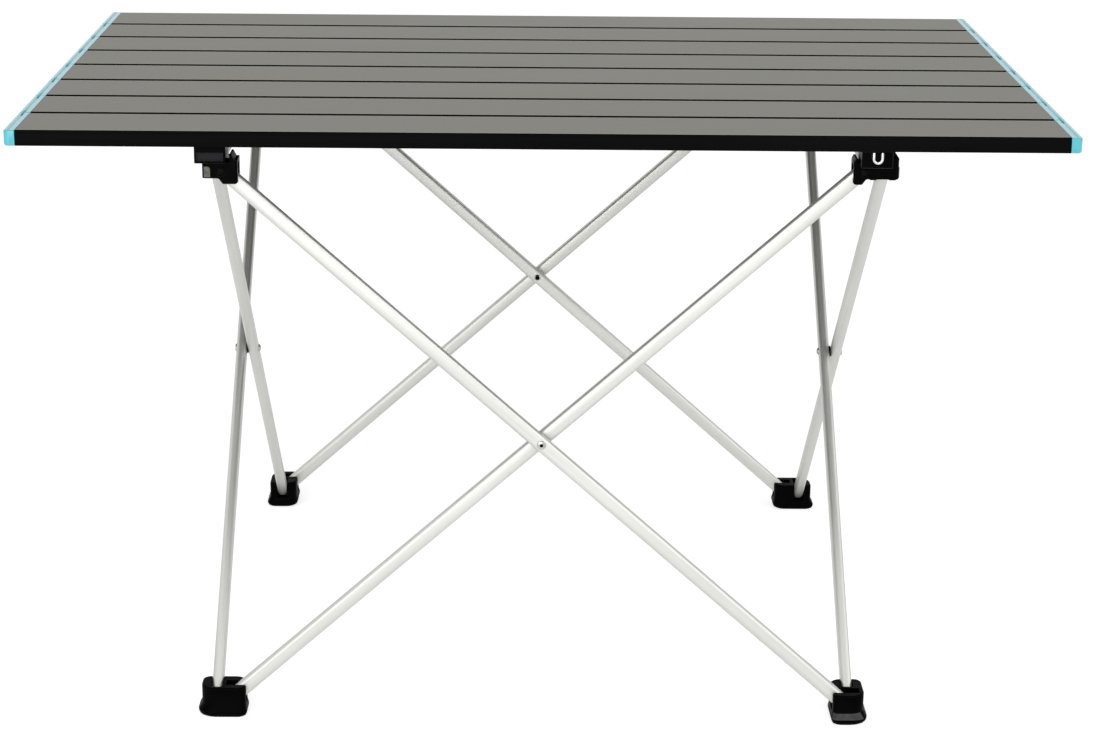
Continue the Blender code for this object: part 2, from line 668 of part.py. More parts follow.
def make_frame_bodies():
    """Return the empties of feet, legs and hubs, each on the joint that moves it.

    The front left foot is the fixed one. Five leg ends are left unjointed,
    because the four sides close into a ring.
    """
    low = [side_point(k, -HALF_SPAN, -FRAME_HALF + LEG_OFFSET, LOW_PIVOT) for k in range(4)]
    cross = [side_point(k, 0, -FRAME_HALF, CROSSING_HEIGHT) for k in range(4)]
    high = [side_point(k, HALF_SPAN, -FRAME_HALF + LEG_OFFSET, TOP_PIVOT) for k in range(4)]
    outer_low = [side_point(k, HALF_SPAN, -FRAME_HALF - LEG_OFFSET, LOW_PIVOT) for k in range(4)]
    outer_high = [side_point(k, -HALF_SPAN, -FRAME_HALF - LEG_OFFSET, TOP_PIVOT) for k in range(4)]
    bodies = {"foot_0": make_body("foot_front_left", side_point(0, -FRAME_HALF, -FRAME_HALF, 0))}
    tree = (
        ("inner_0", "foot_0", low[0]),
        ("outer_0", "inner_0", cross[0]),
        ("hub_0", "outer_0", outer_high[0]),
        ("hub_1", "inner_0", high[0]),
        ("foot_1", "outer_0", outer_low[0]),
        ("inner_1", "foot_1", low[1]),
        ("outer_1", "inner_1", cross[1]),
        ("hub_2", "inner_1", high[1]),
        ("foot_2", "outer_1", outer_low[1]),
        ("outer_3", "foot_0", outer_low[3]),
        ("inner_3", "outer_3", cross[3]),
        ("hub_3", "outer_3", outer_high[3]),
        ("foot_3", "inner_3", low[3]),
        ("outer_2", "foot_3", outer_low[2]),
        ("inner_2", "outer_2", cross[2]),
    )
    for key, parent, place in tree:
        kind, index = key.split("_")
        if kind in ("hub", "foot"):
            name = kind + "_" + CORNER_NAMES[int(index)]
        else:
            name = "leg_" + SIDE_NAMES[int(index)] + "_" + kind
        bodies[key] = make_body(name, place, bodies[parent])
    return bodies


def put_frame(bodies, materials):
    """Place the legs, crossing rivets, hubs, pins and feet, a quarter turn at a time."""
    leg = leg_mesh()
    rivet = rivet_mesh()
    outer_pin = pin_mesh("hub_pin_outer", HUB_WALL)
    inner_pin = pin_mesh("hub_pin_inner", HUB_SIDE_WALL)
    foot = foot_mesh()
    hubs = (hub_mesh("hub_with_long_ear", True), hub_mesh("hub_with_short_ear", False))
    for k in range(4):
        turn = Matrix.Rotation(math.pi / 2 * k, 4, "Z")
        side = SIDE_NAMES[k]
        corner = CORNER_NAMES[k]
        for kind, outward, slope in (("outer", -1, 1), ("inner", 1, -1)):
            place = Matrix.Translation((0, -FRAME_HALF + outward * LEG_OFFSET, CROSSING_HEIGHT))
            tilt = Matrix.Rotation(slope * LEG_ANGLE, 4, "Y")
            leg_body = bodies[kind + "_" + str(k)]
            put("leg_" + side + "_" + kind, leg, materials["leg"], leg_body, turn @ place @ tilt)
        place = Matrix.Translation((0, -FRAME_HALF, CROSSING_HEIGHT))
        put("crossing_rivet_" + side, rivet, materials["steel"], bodies["inner_" + str(k)], turn @ place)
        hub_body = bodies["hub_" + str(k)]
        hub_place = turn @ Matrix.Translation((-FRAME_HALF, -FRAME_HALF, TOP_PIVOT))
        put("hub_" + corner, hubs[k % 2], materials["plastic"], hub_body, hub_place)
        outer_y = -LEG_OFFSET - CHANNEL_HALF - HUB_WALL
        outer_x = LEG_OFFSET - CHANNEL_HALF - HUB_SIDE_WALL
        face_out = Matrix.Translation((PIVOT_INSET, outer_y, 0)) @ Matrix.Rotation(math.pi / 2, 4, "X")
        side_out = Matrix.Translation((outer_x, PIVOT_INSET, 0)) @ Matrix.Rotation(-math.pi / 2, 4, "Y")
        put("hub_pin_outer_" + corner, outer_pin, materials["pin"], hub_body, hub_place @ face_out)
        put("hub_pin_inner_" + corner, inner_pin, materials["pin"], hub_body, hub_place @ side_out)
        foot_place = turn @ Matrix.Translation((-FRAME_HALF, -FRAME_HALF, 0))
        put("foot_" + corner, foot, materials["rubber"], bodies["foot_" + str(k)], foot_place)


def put_top(bodies, materials):
    """Place the support rails on the hubs and the slats with their caps on the rails."""
    rail = rail_mesh()
    plain_end = rail_end_mesh("rail_end_plain", False)
    loop_end = rail_end_mesh("rail_end_with_loop", True)
    loop = wire_loop_mesh()
    half_turn = Matrix.Rotation(math.pi, 4, "Z")
    rail_bodies = {}
    for name, side, hub in (("left", -1, "hub_0"), ("right", 1, "hub_1")):
        place = Matrix.Translation((side * (FRAME_HALF - RAIL_INSET), 0, RAIL_BOTTOM))
        body = make_body("rail_" + name, place.translation, bodies[hub])
        rail_bodies[name] = body
        put("support_rail_" + name, rail, materials["rail"], body, place)
        meshes = (plain_end, loop_end) if side < 0 else (loop_end, plain_end)
        for end, mesh, turn in zip(("front", "back"), meshes, (Matrix.Identity(4), half_turn)):
            put("rail_end_" + end + "_" + name, mesh, materials["plastic"], body, place @ turn)
            if mesh is loop_end:
                put("wire_loop_" + end + "_" + name, loop, materials["steel"], body, place @ turn)
    caps = {
        "first": cap_mesh("cap_first", True, False),
        "middle": cap_mesh("cap_middle", False, False),
        "last": cap_mesh("cap_last", False, True),
    }
    turned_kind = {"first": "last", "middle": "middle", "last": "first"}
    slats = {
        "first": slat_mesh("slat_first", (1,)),
        "middle": slat_mesh("slat_middle", (-1, 1)),
        "last": slat_mesh("slat_last", (-1,)),
    }
    parent = rail_bodies["left"]
    for index in range(SLAT_COUNT):
        middle = -TABLE_DEPTH / 2 + SLAT_WIDTH / 2 + index * SLAT_PITCH
        hinge = (0, middle - SLAT_PITCH / 2, TABLE_HEIGHT)
        kind = "first" if index == 0 else "last" if index == SLAT_COUNT - 1 else "middle"
        number = str(index + 1)
        body = make_body("slat_" + number, hinge, parent)
        parent = body
        place = Matrix.Translation((0, middle, SLAT_BOTTOM))
        put("slat_" + number, slats[kind], materials["slat"], body, place)
        right = Matrix.Translation((TABLE_WIDTH / 2, middle, SLAT_BOTTOM))
        left = Matrix.Translation((-TABLE_WIDTH / 2, middle, SLAT_BOTTOM)) @ half_turn
        put("cap_right_" + number, caps[kind], materials["cap"], body, right)
        put("cap_left_" + number, caps[turned_kind[kind]], materials["cap"], body, left)


def main():
    """Clear the scene and build the table."""
    for existing in list(bpy.data.objects):
        bpy.data.objects.remove(existing)
    materials = make_materials()
    bodies = make_frame_bodies()
    put_frame(bodies, materials)
    put_top(bodies, materials)


main()
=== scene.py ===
"""Finish and detail for the folding camping table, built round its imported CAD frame.

Units are metres and +Z is up. The origin is on the floor under the middle of the
top, +X runs along the slats and -Y is the front edge. Seen from above, corner 0
is front left and each next corner is a quarter turn on.
"""

import math

import bmesh
import bpy
from mathutils import Matrix, Vector


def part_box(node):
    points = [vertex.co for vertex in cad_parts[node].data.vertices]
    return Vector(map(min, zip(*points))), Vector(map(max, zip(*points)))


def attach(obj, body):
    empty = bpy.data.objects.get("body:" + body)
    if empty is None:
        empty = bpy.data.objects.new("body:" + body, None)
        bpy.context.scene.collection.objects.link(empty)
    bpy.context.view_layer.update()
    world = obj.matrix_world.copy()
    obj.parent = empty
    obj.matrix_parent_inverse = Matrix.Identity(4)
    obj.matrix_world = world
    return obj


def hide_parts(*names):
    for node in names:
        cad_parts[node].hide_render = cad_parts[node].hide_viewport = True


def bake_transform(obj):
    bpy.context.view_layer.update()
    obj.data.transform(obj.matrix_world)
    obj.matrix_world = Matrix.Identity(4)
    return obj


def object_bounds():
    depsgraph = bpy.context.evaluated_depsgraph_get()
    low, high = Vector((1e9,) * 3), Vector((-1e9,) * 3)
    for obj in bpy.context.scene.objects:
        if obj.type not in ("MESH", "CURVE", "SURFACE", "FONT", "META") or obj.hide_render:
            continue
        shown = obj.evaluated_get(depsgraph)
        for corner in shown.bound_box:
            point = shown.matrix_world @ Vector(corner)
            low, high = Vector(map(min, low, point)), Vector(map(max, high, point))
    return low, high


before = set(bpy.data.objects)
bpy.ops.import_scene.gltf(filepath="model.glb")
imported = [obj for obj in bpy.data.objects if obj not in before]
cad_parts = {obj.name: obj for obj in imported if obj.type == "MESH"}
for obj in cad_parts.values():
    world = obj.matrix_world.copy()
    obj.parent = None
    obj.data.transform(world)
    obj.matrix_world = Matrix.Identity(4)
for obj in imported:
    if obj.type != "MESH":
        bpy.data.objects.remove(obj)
cad_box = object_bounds()

CORNERS = ("front_left", "front_right", "back_right", "back_left")
SIDES = ("front", "right", "back", "left")
MM = 0.001
WHITE = "FFFFFF"

# Frame sizes, the same as the CAD's
SLAT_COUNT = 8
FRAME_HALF = 0.2142
HALF_SPAN = 0.2048
TOP_PIVOT = 0.3785
LOW_PIVOT = 0.0135
CROSSING_HEIGHT = (TOP_PIVOT + LOW_PIVOT) / 2
LEG_OFFSET = 0.0043
LEG_WIDTH = 0.0100
LEG_THICKNESS = 0.0075
PART_GAP = 0.0003

# Leg tubes: rounder edges than the CAD's, and domed ends that narrow to a share of the section
LEG_EDGE_RADIUS = 0.0026
DOME_RINGS = 8
DOME_TIP = 0.12

# How much finer the draw lines are on a tube's wide faces than on its narrow ones
WIDE_FACE_GRAIN = 1.7

# Slat extrusion: a painted highlight line runs along each top edge, which rolls over into a black band
SLAT_TOP_WALL = 0.0011
SLAT_SIDE_WALL = 0.0009
SLAT_LIP = 0.0050
SLAT_EDGE_RADIUS = 0.0005
SLAT_LINE_WIDTH = 0.0012
SLAT_BAND_HEIGHT = 0.0026
SLAT_BAND_LEAN = 0.0020
SLAT_FOOT_RADIUS = 0.0006

# The least upward share of a face's normal that makes it part of a slat's top
SLAT_TOP_FACING = 0.95

# End caps: a flat strip next to the slat, a groove that deepens to a pocket at each joint, and a rim
CAP_STRIP = 0.0030
CAP_RIM = 0.0022
CAP_SLOPE_RUN = 0.0004
CAP_GROOVE_DEPTH = 0.0002
CAP_POCKET_DEPTH = 0.0016
CAP_POCKET_LENGTH = 0.0110
CAP_EDGE_RADIUS = 0.0009
CAP_FOOT_RADIUS = 0.0012
CAP_FOLD_RADIUS = 0.0002
CAP_SEAM_RADIUS = 0.0005
CAP_CORNER_RADIUS = 0.0034
CAP_NOTCH_RADIUS = 0.0019
CAP_PLUG_LENGTH = 0.0130
CAP_PLUG_WALL = 0.0020
CAP_PLUG_ROOF = 0.0014
CAP_PLUG_OVERLAP = 0.0001
CAP_STEPS = 5
CAP_SHARP_ANGLE = 38

# Where a cap reaches less far than this, at its rounded corners, its whole section shrinks
CAP_FULL_REACH = 2.2 * CAP_STRIP

# Edge softening on the moulded and machined pieces
MOULDED_EDGE = 0.00035
MACHINED_EDGE = 0.00015
BEVEL_SEGMENTS = 2
BEVEL_ANGLE = 40

# Angles in degrees: an edge over the first is shaded crisp, and faces within the second count as flat
SHARP_ANGLE = 32
FLAT_ANGLE = 0.5

# Steps round the corners of an outline: as a rule, on an ear, and where the radius is tiny
CORNER_STEPS = 4
EAR_CORNER_STEPS = 3
TINY_CORNER_STEPS = 2

# Points within the first distance are merged, and those within the second of a cut lie on it
MERGE_DISTANCE = 0.000002
CUT_DISTANCE = 0.0000001

# Rivets: a drilled head outside, and the rolled end of the hollow shank inside
RIVET_HEAD_RADIUS = 0.0029
RIVET_HEAD_HEIGHT = 0.0011
RIVET_BORE_RADIUS = 0.0012
RIVET_ROLL_RADIUS = 0.0026
RIVET_ROLL_BORE_RADIUS = 0.0018
RIVET_BORE_DEPTH = 0.0009
RIVET_BORE_CHAMFER = 0.00005
HEAD_RIM = 0.0004
HEAD_SIDES = 28
HEAD_DOME_STEPS = 6
SPACER_RADIUS = 0.0042
SPACER_THICKNESS = 0.0005
SPACER_SIDES = 32

# In bore radii from a head's axis: where its dome ends, and how far its faces of painted shade reach
BORE_LAND = 1.15
BORE_REACH = 1.02

# Hubs, measured from each one's pivot height and from its corner of the frame
HUB_SADDLE = 0.0057
HUB_LONG_END = 0.0202
HUB_SHORT_END = 0.0164
HUB_FRONT_FACE = -0.01275
HUB_SIDE_FACE = -0.00235
HUB_CHANNEL_START = 0.0037
EAR_THICKNESS = 0.0026
EAR_LOW = 0.0018
EAR_HIGH = 0.0057
EAR_SHOULDER = 0.0018
EAR_FILL = 0.0024
EAR_FOOT = 0.0010
EAR_SLOPE = 0.0020
EAR_ROOT = 0.0004
EAR_INSET = 0.0004
EAR_CREST = 0.0012
EAR_CORNER_RADIUS = 0.0004
PLATE_START = 0.0013
PLATE_WIDTH = 0.0040
PLATE_HALF_HEIGHT = 0.0035
PLATE_THICKNESS = 0.0006
PLATE_CORNER_RADIUS = 0.0005
PLATE_ROUND_RADIUS = 0.0018

# The slope of a foot's skirt that takes a painted highlight: its heights, and the least shares of its normal
# up and forward
SKIRT_LOW = 0.0040
SKIRT_HIGH = 0.0084
SKIRT_RISE = 0.2
SKIRT_FACING = 0.45

# Steel wire loops on two rail ends
WIRE_RADIUS = 0.0009
WIRE_SIDES = 14
LOOP_HALF = 0.0027
LOOP_TOP_COVER = 0.0001
LOOP_STEPS = 16

# The recess in a plain rail end, which sits lower in its face than the CAD's
RECESS_DEPTH = 0.0015
RECESS_WIDTH = 0.0168
RECESS_HEIGHT = 0.0052
RECESS_DROP = 0.0011
RECESS_MARGIN = 0.0002
RECESS_FACING = 0.9

# Elastic cords through the slats
CORD_INSET = 0.0480
CORD_RADIUS = 0.0013
CORD_STEPS = 6
EYELET_RADIUS = 0.0024
EYELET_THICKNESS = 0.0004
EYELET_CLEARANCE = 0.0001
EYELET_SIDES = 20

# The cords' cover: yarns that lean both ways, drawn about six times as coarse to show
YARN_WIDTH_MM = 0.8
YARN_LEAN = 0.7
YARN_WAVER = 0.4
YARN_RELIEF_MM = 0.15
YARN_ROUGHNESS = 0.85

# The radians that a wave texture runs through in a metre at scale 1
WAVE_RATE = 20

# Patterns in the finishes: fine grain and broad clouds, and the share of each in the mix
GRAIN_DETAIL = 3.0
GRAIN_ROUGHNESS = 0.6
GRAIN_SHARE = 0.55
CLOUD_DETAIL = 2.0
CLOUD_ROUGHNESS = 0.5
CLOUD_SHARE = 0.45

# The stretch of a noise that is spread out: for the clouds, and for the mix in colour and gloss
CLOUD_LOW = 0.3
CLOUD_HIGH = 0.7
TINT_LOW = 0.25
TINT_HIGH = 0.8
GLOSS_LOW = 0.2
GLOSS_HIGH = 0.85

# Camera at the photograph's angle: its place, its turn about Z, its tilt and its roll
CAMERA_PLACE = (-0.0172, -1.8518, 0.7415)
CAMERA_TURN = -0.01369
CAMERA_TILT = -0.29391
CAMERA_ROLL = -0.01012
CAMERA_LENS = 85.77
CAMERA_SENSOR = 36.0
CAMERA_NEAR = 0.05

# Stage: the floor's glow to the eye, and the world's strength as a light
FLOOR_HALF = 6.0
FLOOR_PAINT = "E6E6E6"
FLOOR_GLOW = 0.66
WORLD_LIGHT = 0.40

# Each softbox's name, place, aim, size and watts
SOFTBOXES = (
    ("key_softbox", (-0.9, -2.8, 1.3), (0, 0, 0.2), 3.0, 68),
    ("fill_softbox", (2.2, -1.6, 1.6), (0, 0, 0.3), 2.4, 26),
)


def colour(code):
    """Return the linear colour of an sRGB hex code such as 8A8A80."""
    channels = []
    for start in (0, 2, 4):
        value = int(code[start:start + 2], 16) / 255
        channels.append(value / 12.92 if value <= 0.04045 else ((value + 0.055) / 1.055) ** 2.4)
    return (*channels, 1.0)


def set_inputs(tree, node, inputs):
    """Fill or link a node's inputs by name or number.

    An input can be a value, a socket, or a node, which stands for its first output.
    """
    for key, value in inputs.items():
        if isinstance(value, bpy.types.Node):
            value = value.outputs[0]
        if isinstance(value, bpy.types.NodeSocket):
            tree.links.new(value, node.inputs[key])
        else:
            node.inputs[key].default_value = value


def add_node(tree, kind, inputs=None, **settings):
    """Add a node with its settings and its inputs."""
    node = tree.nodes.new(kind)
    for name, value in settings.items():
        setattr(node, name, value)
    set_inputs(tree, node, inputs or {})
    return node


# Materials


def speckle(tree, places, size_mm, detail, roughness):
    """Return a noise whose grains have one size in millimetres, or a size along each axis."""
    sizes = size_mm if isinstance(size_mm, tuple) else (size_mm, size_mm, size_mm)
    scale = tuple(1 / (size * MM) for size in sizes)
    stretched = add_node(tree, "ShaderNodeMapping", {"Vector": places, "Scale": scale})
    return add_node(tree, "ShaderNodeTexNoise", {
        "Vector": stretched, "Scale": 1.0, "Detail": detail, "Roughness": roughness,
    })


def start_material(name):
    """Return a new material, its node tree and its shader."""
    material = bpy.data.materials.new(name)
    material.use_nodes = True
    tree = material.node_tree
    return material, tree, tree.nodes["Principled BSDF"]


def tint_and_relief(tree, shader, factor, dark, light, height, depth_mm):
    """Give a shader a colour between two hex colours, and a relief from a pattern's height."""
    tint = add_node(tree, "ShaderNodeMix", {
        "Factor": factor, "A": colour(dark), "B": colour(light),
    }, data_type="RGBA")
    relief = add_node(tree, "ShaderNodeBump", {"Height": height, "Distance": depth_mm * MM})
    set_inputs(tree, shader, {"Base Color": tint.outputs["Result"], "Normal": relief})


def finish(name, dark, light, grain_mm, cloud_mm, roughness, bump_mm,
           metallic=0.0, shine=0.5, uv_name=None, coat=None):
    """Return a material with fine grain and broad clouding in its colour, gloss and relief.

    dark and light are hex colours that the grain and the clouds run between, roughness is
    the range that goes with them, shine is the specular level, and a UV map can place the grain.
    """
    material, tree, shader = start_material(name)
    places = add_node(tree, "ShaderNodeTexCoord").outputs["Object"]
    if uv_name:
        places = add_node(tree, "ShaderNodeUVMap", uv_map=uv_name)
    grain = speckle(tree, places, grain_mm, GRAIN_DETAIL, GRAIN_ROUGHNESS)
    cloud = speckle(tree, places, cloud_mm, CLOUD_DETAIL, CLOUD_ROUGHNESS)
    clouds = add_node(tree, "ShaderNodeMapRange", {
        "Value": cloud, "From Min": CLOUD_LOW, "From Max": CLOUD_HIGH, "To Max": CLOUD_SHARE,
    })
    both = add_node(tree, "ShaderNodeMath", {0: grain, 1: GRAIN_SHARE, 2: clouds}, operation="MULTIPLY_ADD")
    factor = add_node(tree, "ShaderNodeMapRange", {
        "Value": both, "From Min": TINT_LOW, "From Max": TINT_HIGH,
    })
    tint_and_relief(tree, shader, factor, dark, light, grain, bump_mm)
    gloss = add_node(tree, "ShaderNodeMapRange", {
        "Value": both, "From Min": GLOSS_LOW, "From Max": GLOSS_HIGH,
        "To Min": roughness[0], "To Max": roughness[1],
    })
    set_inputs(tree, shader, {
        "Metallic": metallic, "Specular IOR Level": shine, "Roughness": gloss, **(coat or {}),
    })
    return material


def braided_cord():
    """Return the cords' cover: two sets of black yarns that cross."""
    material, tree, shader = start_material("braided_elastic_cord")
    places = add_node(tree, "ShaderNodeTexCoord").outputs["Object"]
    yarns = []
    scale = 1 / (WAVE_RATE * YARN_WIDTH_MM * MM)
    for lean in (YARN_LEAN, -YARN_LEAN):
        leaning = add_node(tree, "ShaderNodeMapping", {"Vector": places, "Rotation": (lean, 0, lean)})
        wave = add_node(tree, "ShaderNodeTexWave", {
            "Vector": leaning, "Scale": scale, "Distortion": YARN_WAVER,
        })
        yarns.append(wave.outputs["Fac"])
    weave = add_node(tree, "ShaderNodeMath", {0: yarns[0], 1: yarns[1]}, operation="MAXIMUM")
    tint_and_relief(tree, shader, weave, "0D0D0E", "2A2A2B", weave, YARN_RELIEF_MM)
    set_inputs(tree, shader, {"Roughness": YARN_ROUGHNESS})
    return material


def top_finishes():
    """Return the materials of the slats, the caps and the cords, by the name that the pieces use."""
    return {
        # Satin anodised aluminium: warm grey, with fine die lines along each slat
        "slat_top": finish(
            "satin_grey_anodised_slat", "636258", "727166", grain_mm=(60, 0.7, 0.7), cloud_mm=(180, 30, 30),
            roughness=(0.42, 0.52), bump_mm=0.02, metallic=0.4,
        ),
        # The same aluminium painted paler: a painted highlight line where the top rolls over
        "slat_highlight_line": finish(
            "painted_highlight_anodised_edge", "84847A", "96958A", grain_mm=(40, 0.5, 0.5), cloud_mm=(120, 20, 20),
            roughness=(0.38, 0.5), bump_mm=0.02, metallic=0.5,
        ),
        # Black anodised aluminium: deep and matt on the slats' sides and underneath
        "slat_side": finish(
            "black_anodised_slat", "030303", "090909", grain_mm=(50, 0.6, 0.6), cloud_mm=(120, 20, 20),
            roughness=(0.45, 0.6), bump_mm=0.02, shine=0.03,
        ),
        # Moulded polypropylene: clear light blue under a polished skin that mirrors the room
        "cap": finish(
            "light_blue_polypropylene", "33B0BE", "42BECA", grain_mm=0.5, cloud_mm=14,
            roughness=(0.24, 0.36), bump_mm=0.01,
            coat={"Coat Weight": 0.75, "Coat Roughness": 0.1, "Coat IOR": 1.6},
        ),
        # The same plastic in the grooves, where the mould is rougher: paler, with a soft shine
        "cap_groove": finish(
            "matt_blue_polypropylene", "3AAEBC", "58C2CC", grain_mm=0.5, cloud_mm=9,
            roughness=(0.42, 0.56), bump_mm=0.02, coat={"Coat Weight": 0.6, "Coat Roughness": 0.25},
        ),
        "cord": braided_cord(),
    }


def metal_finishes():
    """Return the materials of the tubes, the rails and the small metal pieces."""
    return {
        # Clear anodised drawn tube: pale satin silver, with faint draw lines along the tube
        "leg": finish(
            "silver_anodised_tube", "C3C4BF", "D2D2CE", grain_mm=(70, 0.8, 0.8), cloud_mm=(160, 8, 8),
            roughness=(0.36, 0.46), bump_mm=0.008, metallic=0.68, uv_name="grain",
        ),
        # Zinc plated steel: brighter and sharper than the tubes
        "rivet": finish(
            "zinc_plated_steel", "9C9C98", "C4C4C0", grain_mm=0.6, cloud_mm=4,
            roughness=(0.22, 0.36), bump_mm=0.01, metallic=1.0,
        ),
        # Black oxide on steel: dark and dull, so that the pins hardly show in the hubs
        "pin": finish(
            "black_oxide_steel", "030303", "0A0A0A", grain_mm=0.5, cloud_mm=5,
            roughness=(0.4, 0.55), bump_mm=0.01, shine=0.04,
        ),
        # Clear anodised rail tube: silver, with die lines from front to back
        "rail": finish(
            "silver_anodised_rail", "A9A9A4", "C2C2BD", grain_mm=(0.6, 60, 0.6), cloud_mm=(20, 120, 20),
            roughness=(0.38, 0.5), bump_mm=0.02, metallic=0.5,
        ),
        # Stainless spring wire: bright, with draw lines too fine to see
        "wire": finish(
            "stainless_spring_wire", "C2C2C0", "DCDCDA", grain_mm=0.4, cloud_mm=3,
            roughness=(0.18, 0.3), bump_mm=0.005, metallic=1.0,
        ),
        # A plate let into the hubs' faces, painted the grey with an olive cast of a leg tube's end in shade
        "plate": finish(
            "painted_shade_tube_grey", "3C3C34", "66665A", grain_mm=0.9, cloud_mm=3,
            roughness=(0.45, 0.6), bump_mm=0.03, metallic=0.3,
        ),
    }


def moulded_finishes():
    """Return the materials of the hubs, the rail ends and the feet."""
    return {
        # Glass filled nylon, moulded: deep black, with hardly a shine on its flat faces
        "hub": finish(
            "black_moulded_nylon", "010101", "050506", grain_mm=0.6, cloud_mm=9,
            roughness=(0.26, 0.42), bump_mm=0.03, shine=0.02,
        ),
        # The same nylon on its rounded edges: a painted grey highlight
        "hub_edge_highlight": finish(
            "painted_highlight_nylon_edge", "18181A", "3A3A3E", grain_mm=0.6, cloud_mm=7,
            roughness=(0.4, 0.55), bump_mm=0.02, shine=0.3,
        ),
        # The same nylon from a spark eroded mould face: a dull charcoal panel
        "hub_matt": finish(
            "matt_moulded_nylon", "0E0E10", "1B1B1E", grain_mm=0.5, cloud_mm=6,
            roughness=(0.6, 0.75), bump_mm=0.04, shine=0.18,
        ),
        # Hard rubber: deep black and almost without a shine
        "foot": finish(
            "black_hard_rubber", "010101", "050505", grain_mm=0.8, cloud_mm=12,
            roughness=(0.34, 0.55), bump_mm=0.05, shine=0.015,
        ),
        # The same rubber on its edges and on one skirt's upward slope: a painted highlight in patches of
        # dull grey
        "foot_highlight": finish(
            "painted_highlight_rubber", "161616", "464646", grain_mm=0.8, cloud_mm=(9, 9, 5),
            roughness=(0.5, 0.7), bump_mm=0.05, shine=0.3,
        ),
    }


# Mesh helpers


def rounded(corners, steps=CORNER_STEPS):
    """Return a closed outline from corners (u, v, radius); radius 0 stays sharp."""
    points = []
    for index, (u, v, radius) in enumerate(corners):
        here = Vector((u, v))
        if radius == 0:
            points.append(here)
            continue
        back = (Vector(corners[index - 1][:2]) - here).normalized()
        ahead = (Vector(corners[(index + 1) % len(corners)][:2]) - here).normalized()
        half_corner = back.angle(ahead) / 2
        centre = here + (back + ahead).normalized() * radius / math.sin(half_corner)
        start = here + back * radius / math.tan(half_corner) - centre
        end = here + ahead * radius / math.tan(half_corner) - centre
        for step in range(steps + 1):
            points.append(centre + start.slerp(end, step / steps).normalized() * radius)
    return points


def rectangle(left, right, low, high):
    """Return the four corners of a rectangle as (u, v)."""
    return [(left, low), (right, low), (right, high), (left, high)]


def mesh_from(name, shape, material=None):
    """Turn a bmesh into a mesh with its faces outwards, and with its material if one is given."""
    mesh = bpy.data.meshes.new(name)
    bmesh.ops.recalc_face_normals(shape, faces=shape.faces)
    shape.to_mesh(mesh)
    shape.free()
    if material:
        mesh.materials.append(material)
    return mesh


def smooth(mesh, degrees=SHARP_ANGLE):
    """Shade a mesh smooth, with its sharper edges kept crisp."""
    mesh.shade_smooth()
    mesh.set_sharp_from_angle(angle=math.radians(degrees))


def show(data):
    """Add an object at the origin for a mesh, a lamp or a camera, with the same name."""
    item = bpy.data.objects.new(data.name, data)
    bpy.context.scene.collection.objects.link(item)
    return item


def place_piece(piece, body, slot, *nodes):
    """Give a finished piece to its body, in place of any CAD nodes; the slot argument is not used."""
    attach(piece, body)
    if nodes:
        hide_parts(*nodes)


def quarter_turns(count):
    """Return the turn about Z from corner or side 0 to a later one."""
    return Matrix.Rotation(math.pi / 2 * count, 4, "Z")


def add_skin(shape, rings, joined=False):
    """Add a skin through rings of points to a bmesh, closed at its ends or joined into a loop."""
    layers = [[shape.verts.new(point) for point in ring] for ring in rings]
    following = layers[1:] + layers[:1] if joined else layers[1:]
    for lower, upper in zip(layers, following):
        for index in range(len(lower)):
            after = (index + 1) % len(lower)
            shape.faces.new((lower[index], lower[after], upper[after], upper[index]))
    if not joined:
        shape.faces.new(layers[0])
        shape.faces.new(layers[-1])


def lofted(rings, joined=False):
    """Return a bmesh with a skin through rings of points."""
    shape = bmesh.new()
    add_skin(shape, rings, joined)
    return shape


def soften(piece, edge, bevel_highlight=None):
    """Round a piece's sharp edges with a live bevel, whose faces may take a material with a painted
    highlight.
    """
    rounding = piece.modifiers.new("rounding", "BEVEL")
    if bevel_highlight:
        piece.data.materials.append(bevel_highlight)
        rounding.material = len(piece.data.materials) - 1
    rounding.width = edge
    rounding.segments = BEVEL_SEGMENTS
    rounding.limit_method = "ANGLE"
    rounding.angle_limit = math.radians(BEVEL_ANGLE)
    rounding.harden_normals = True


def soft_copy(node, edge, material, bevel_highlight=None):
    """Return a copy of a CAD node's mesh with its points merged and its edges rounded."""
    shape = bmesh.new()
    shape.from_mesh(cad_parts[node].data)
    bmesh.ops.remove_doubles(shape, verts=shape.verts, dist=MERGE_DISTANCE)
    flat = math.radians(FLAT_ANGLE)
    bmesh.ops.dissolve_limit(shape, angle_limit=flat, verts=shape.verts, edges=shape.edges)
    mesh = mesh_from(node + "_finished", shape, material)
    piece = show(mesh)
    if edge:
        soften(piece, edge, bevel_highlight)
    smooth(mesh)
    return piece


# Geometry Nodes trees


def start_tree(name, inputs):
    """Return a new Geometry Nodes tree with named inputs, and its two end nodes."""
    tree = bpy.data.node_groups.new(name, "GeometryNodeTree")
    tree.interface.new_socket("Geometry", in_out="INPUT", socket_type="NodeSocketGeometry")
    tree.interface.new_socket("Geometry", in_out="OUTPUT", socket_type="NodeSocketGeometry")
    for label, kind in inputs:
        tree.interface.new_socket(label, in_out="INPUT", socket_type="NodeSocket" + kind)
    return tree, add_node(tree, "NodeGroupInput"), add_node(tree, "NodeGroupOutput")


def end_tree(tree, goal, geometry, material):
    """Finish a tree with Realize Instances and Set Material."""
    real = add_node(tree, "GeometryNodeRealizeInstances", {"Geometry": geometry})
    dressed = add_node(tree, "GeometryNodeSetMaterial", {"Geometry": real, "Material": material})
    set_inputs(tree, goal, {"Geometry": dressed})
    return dressed


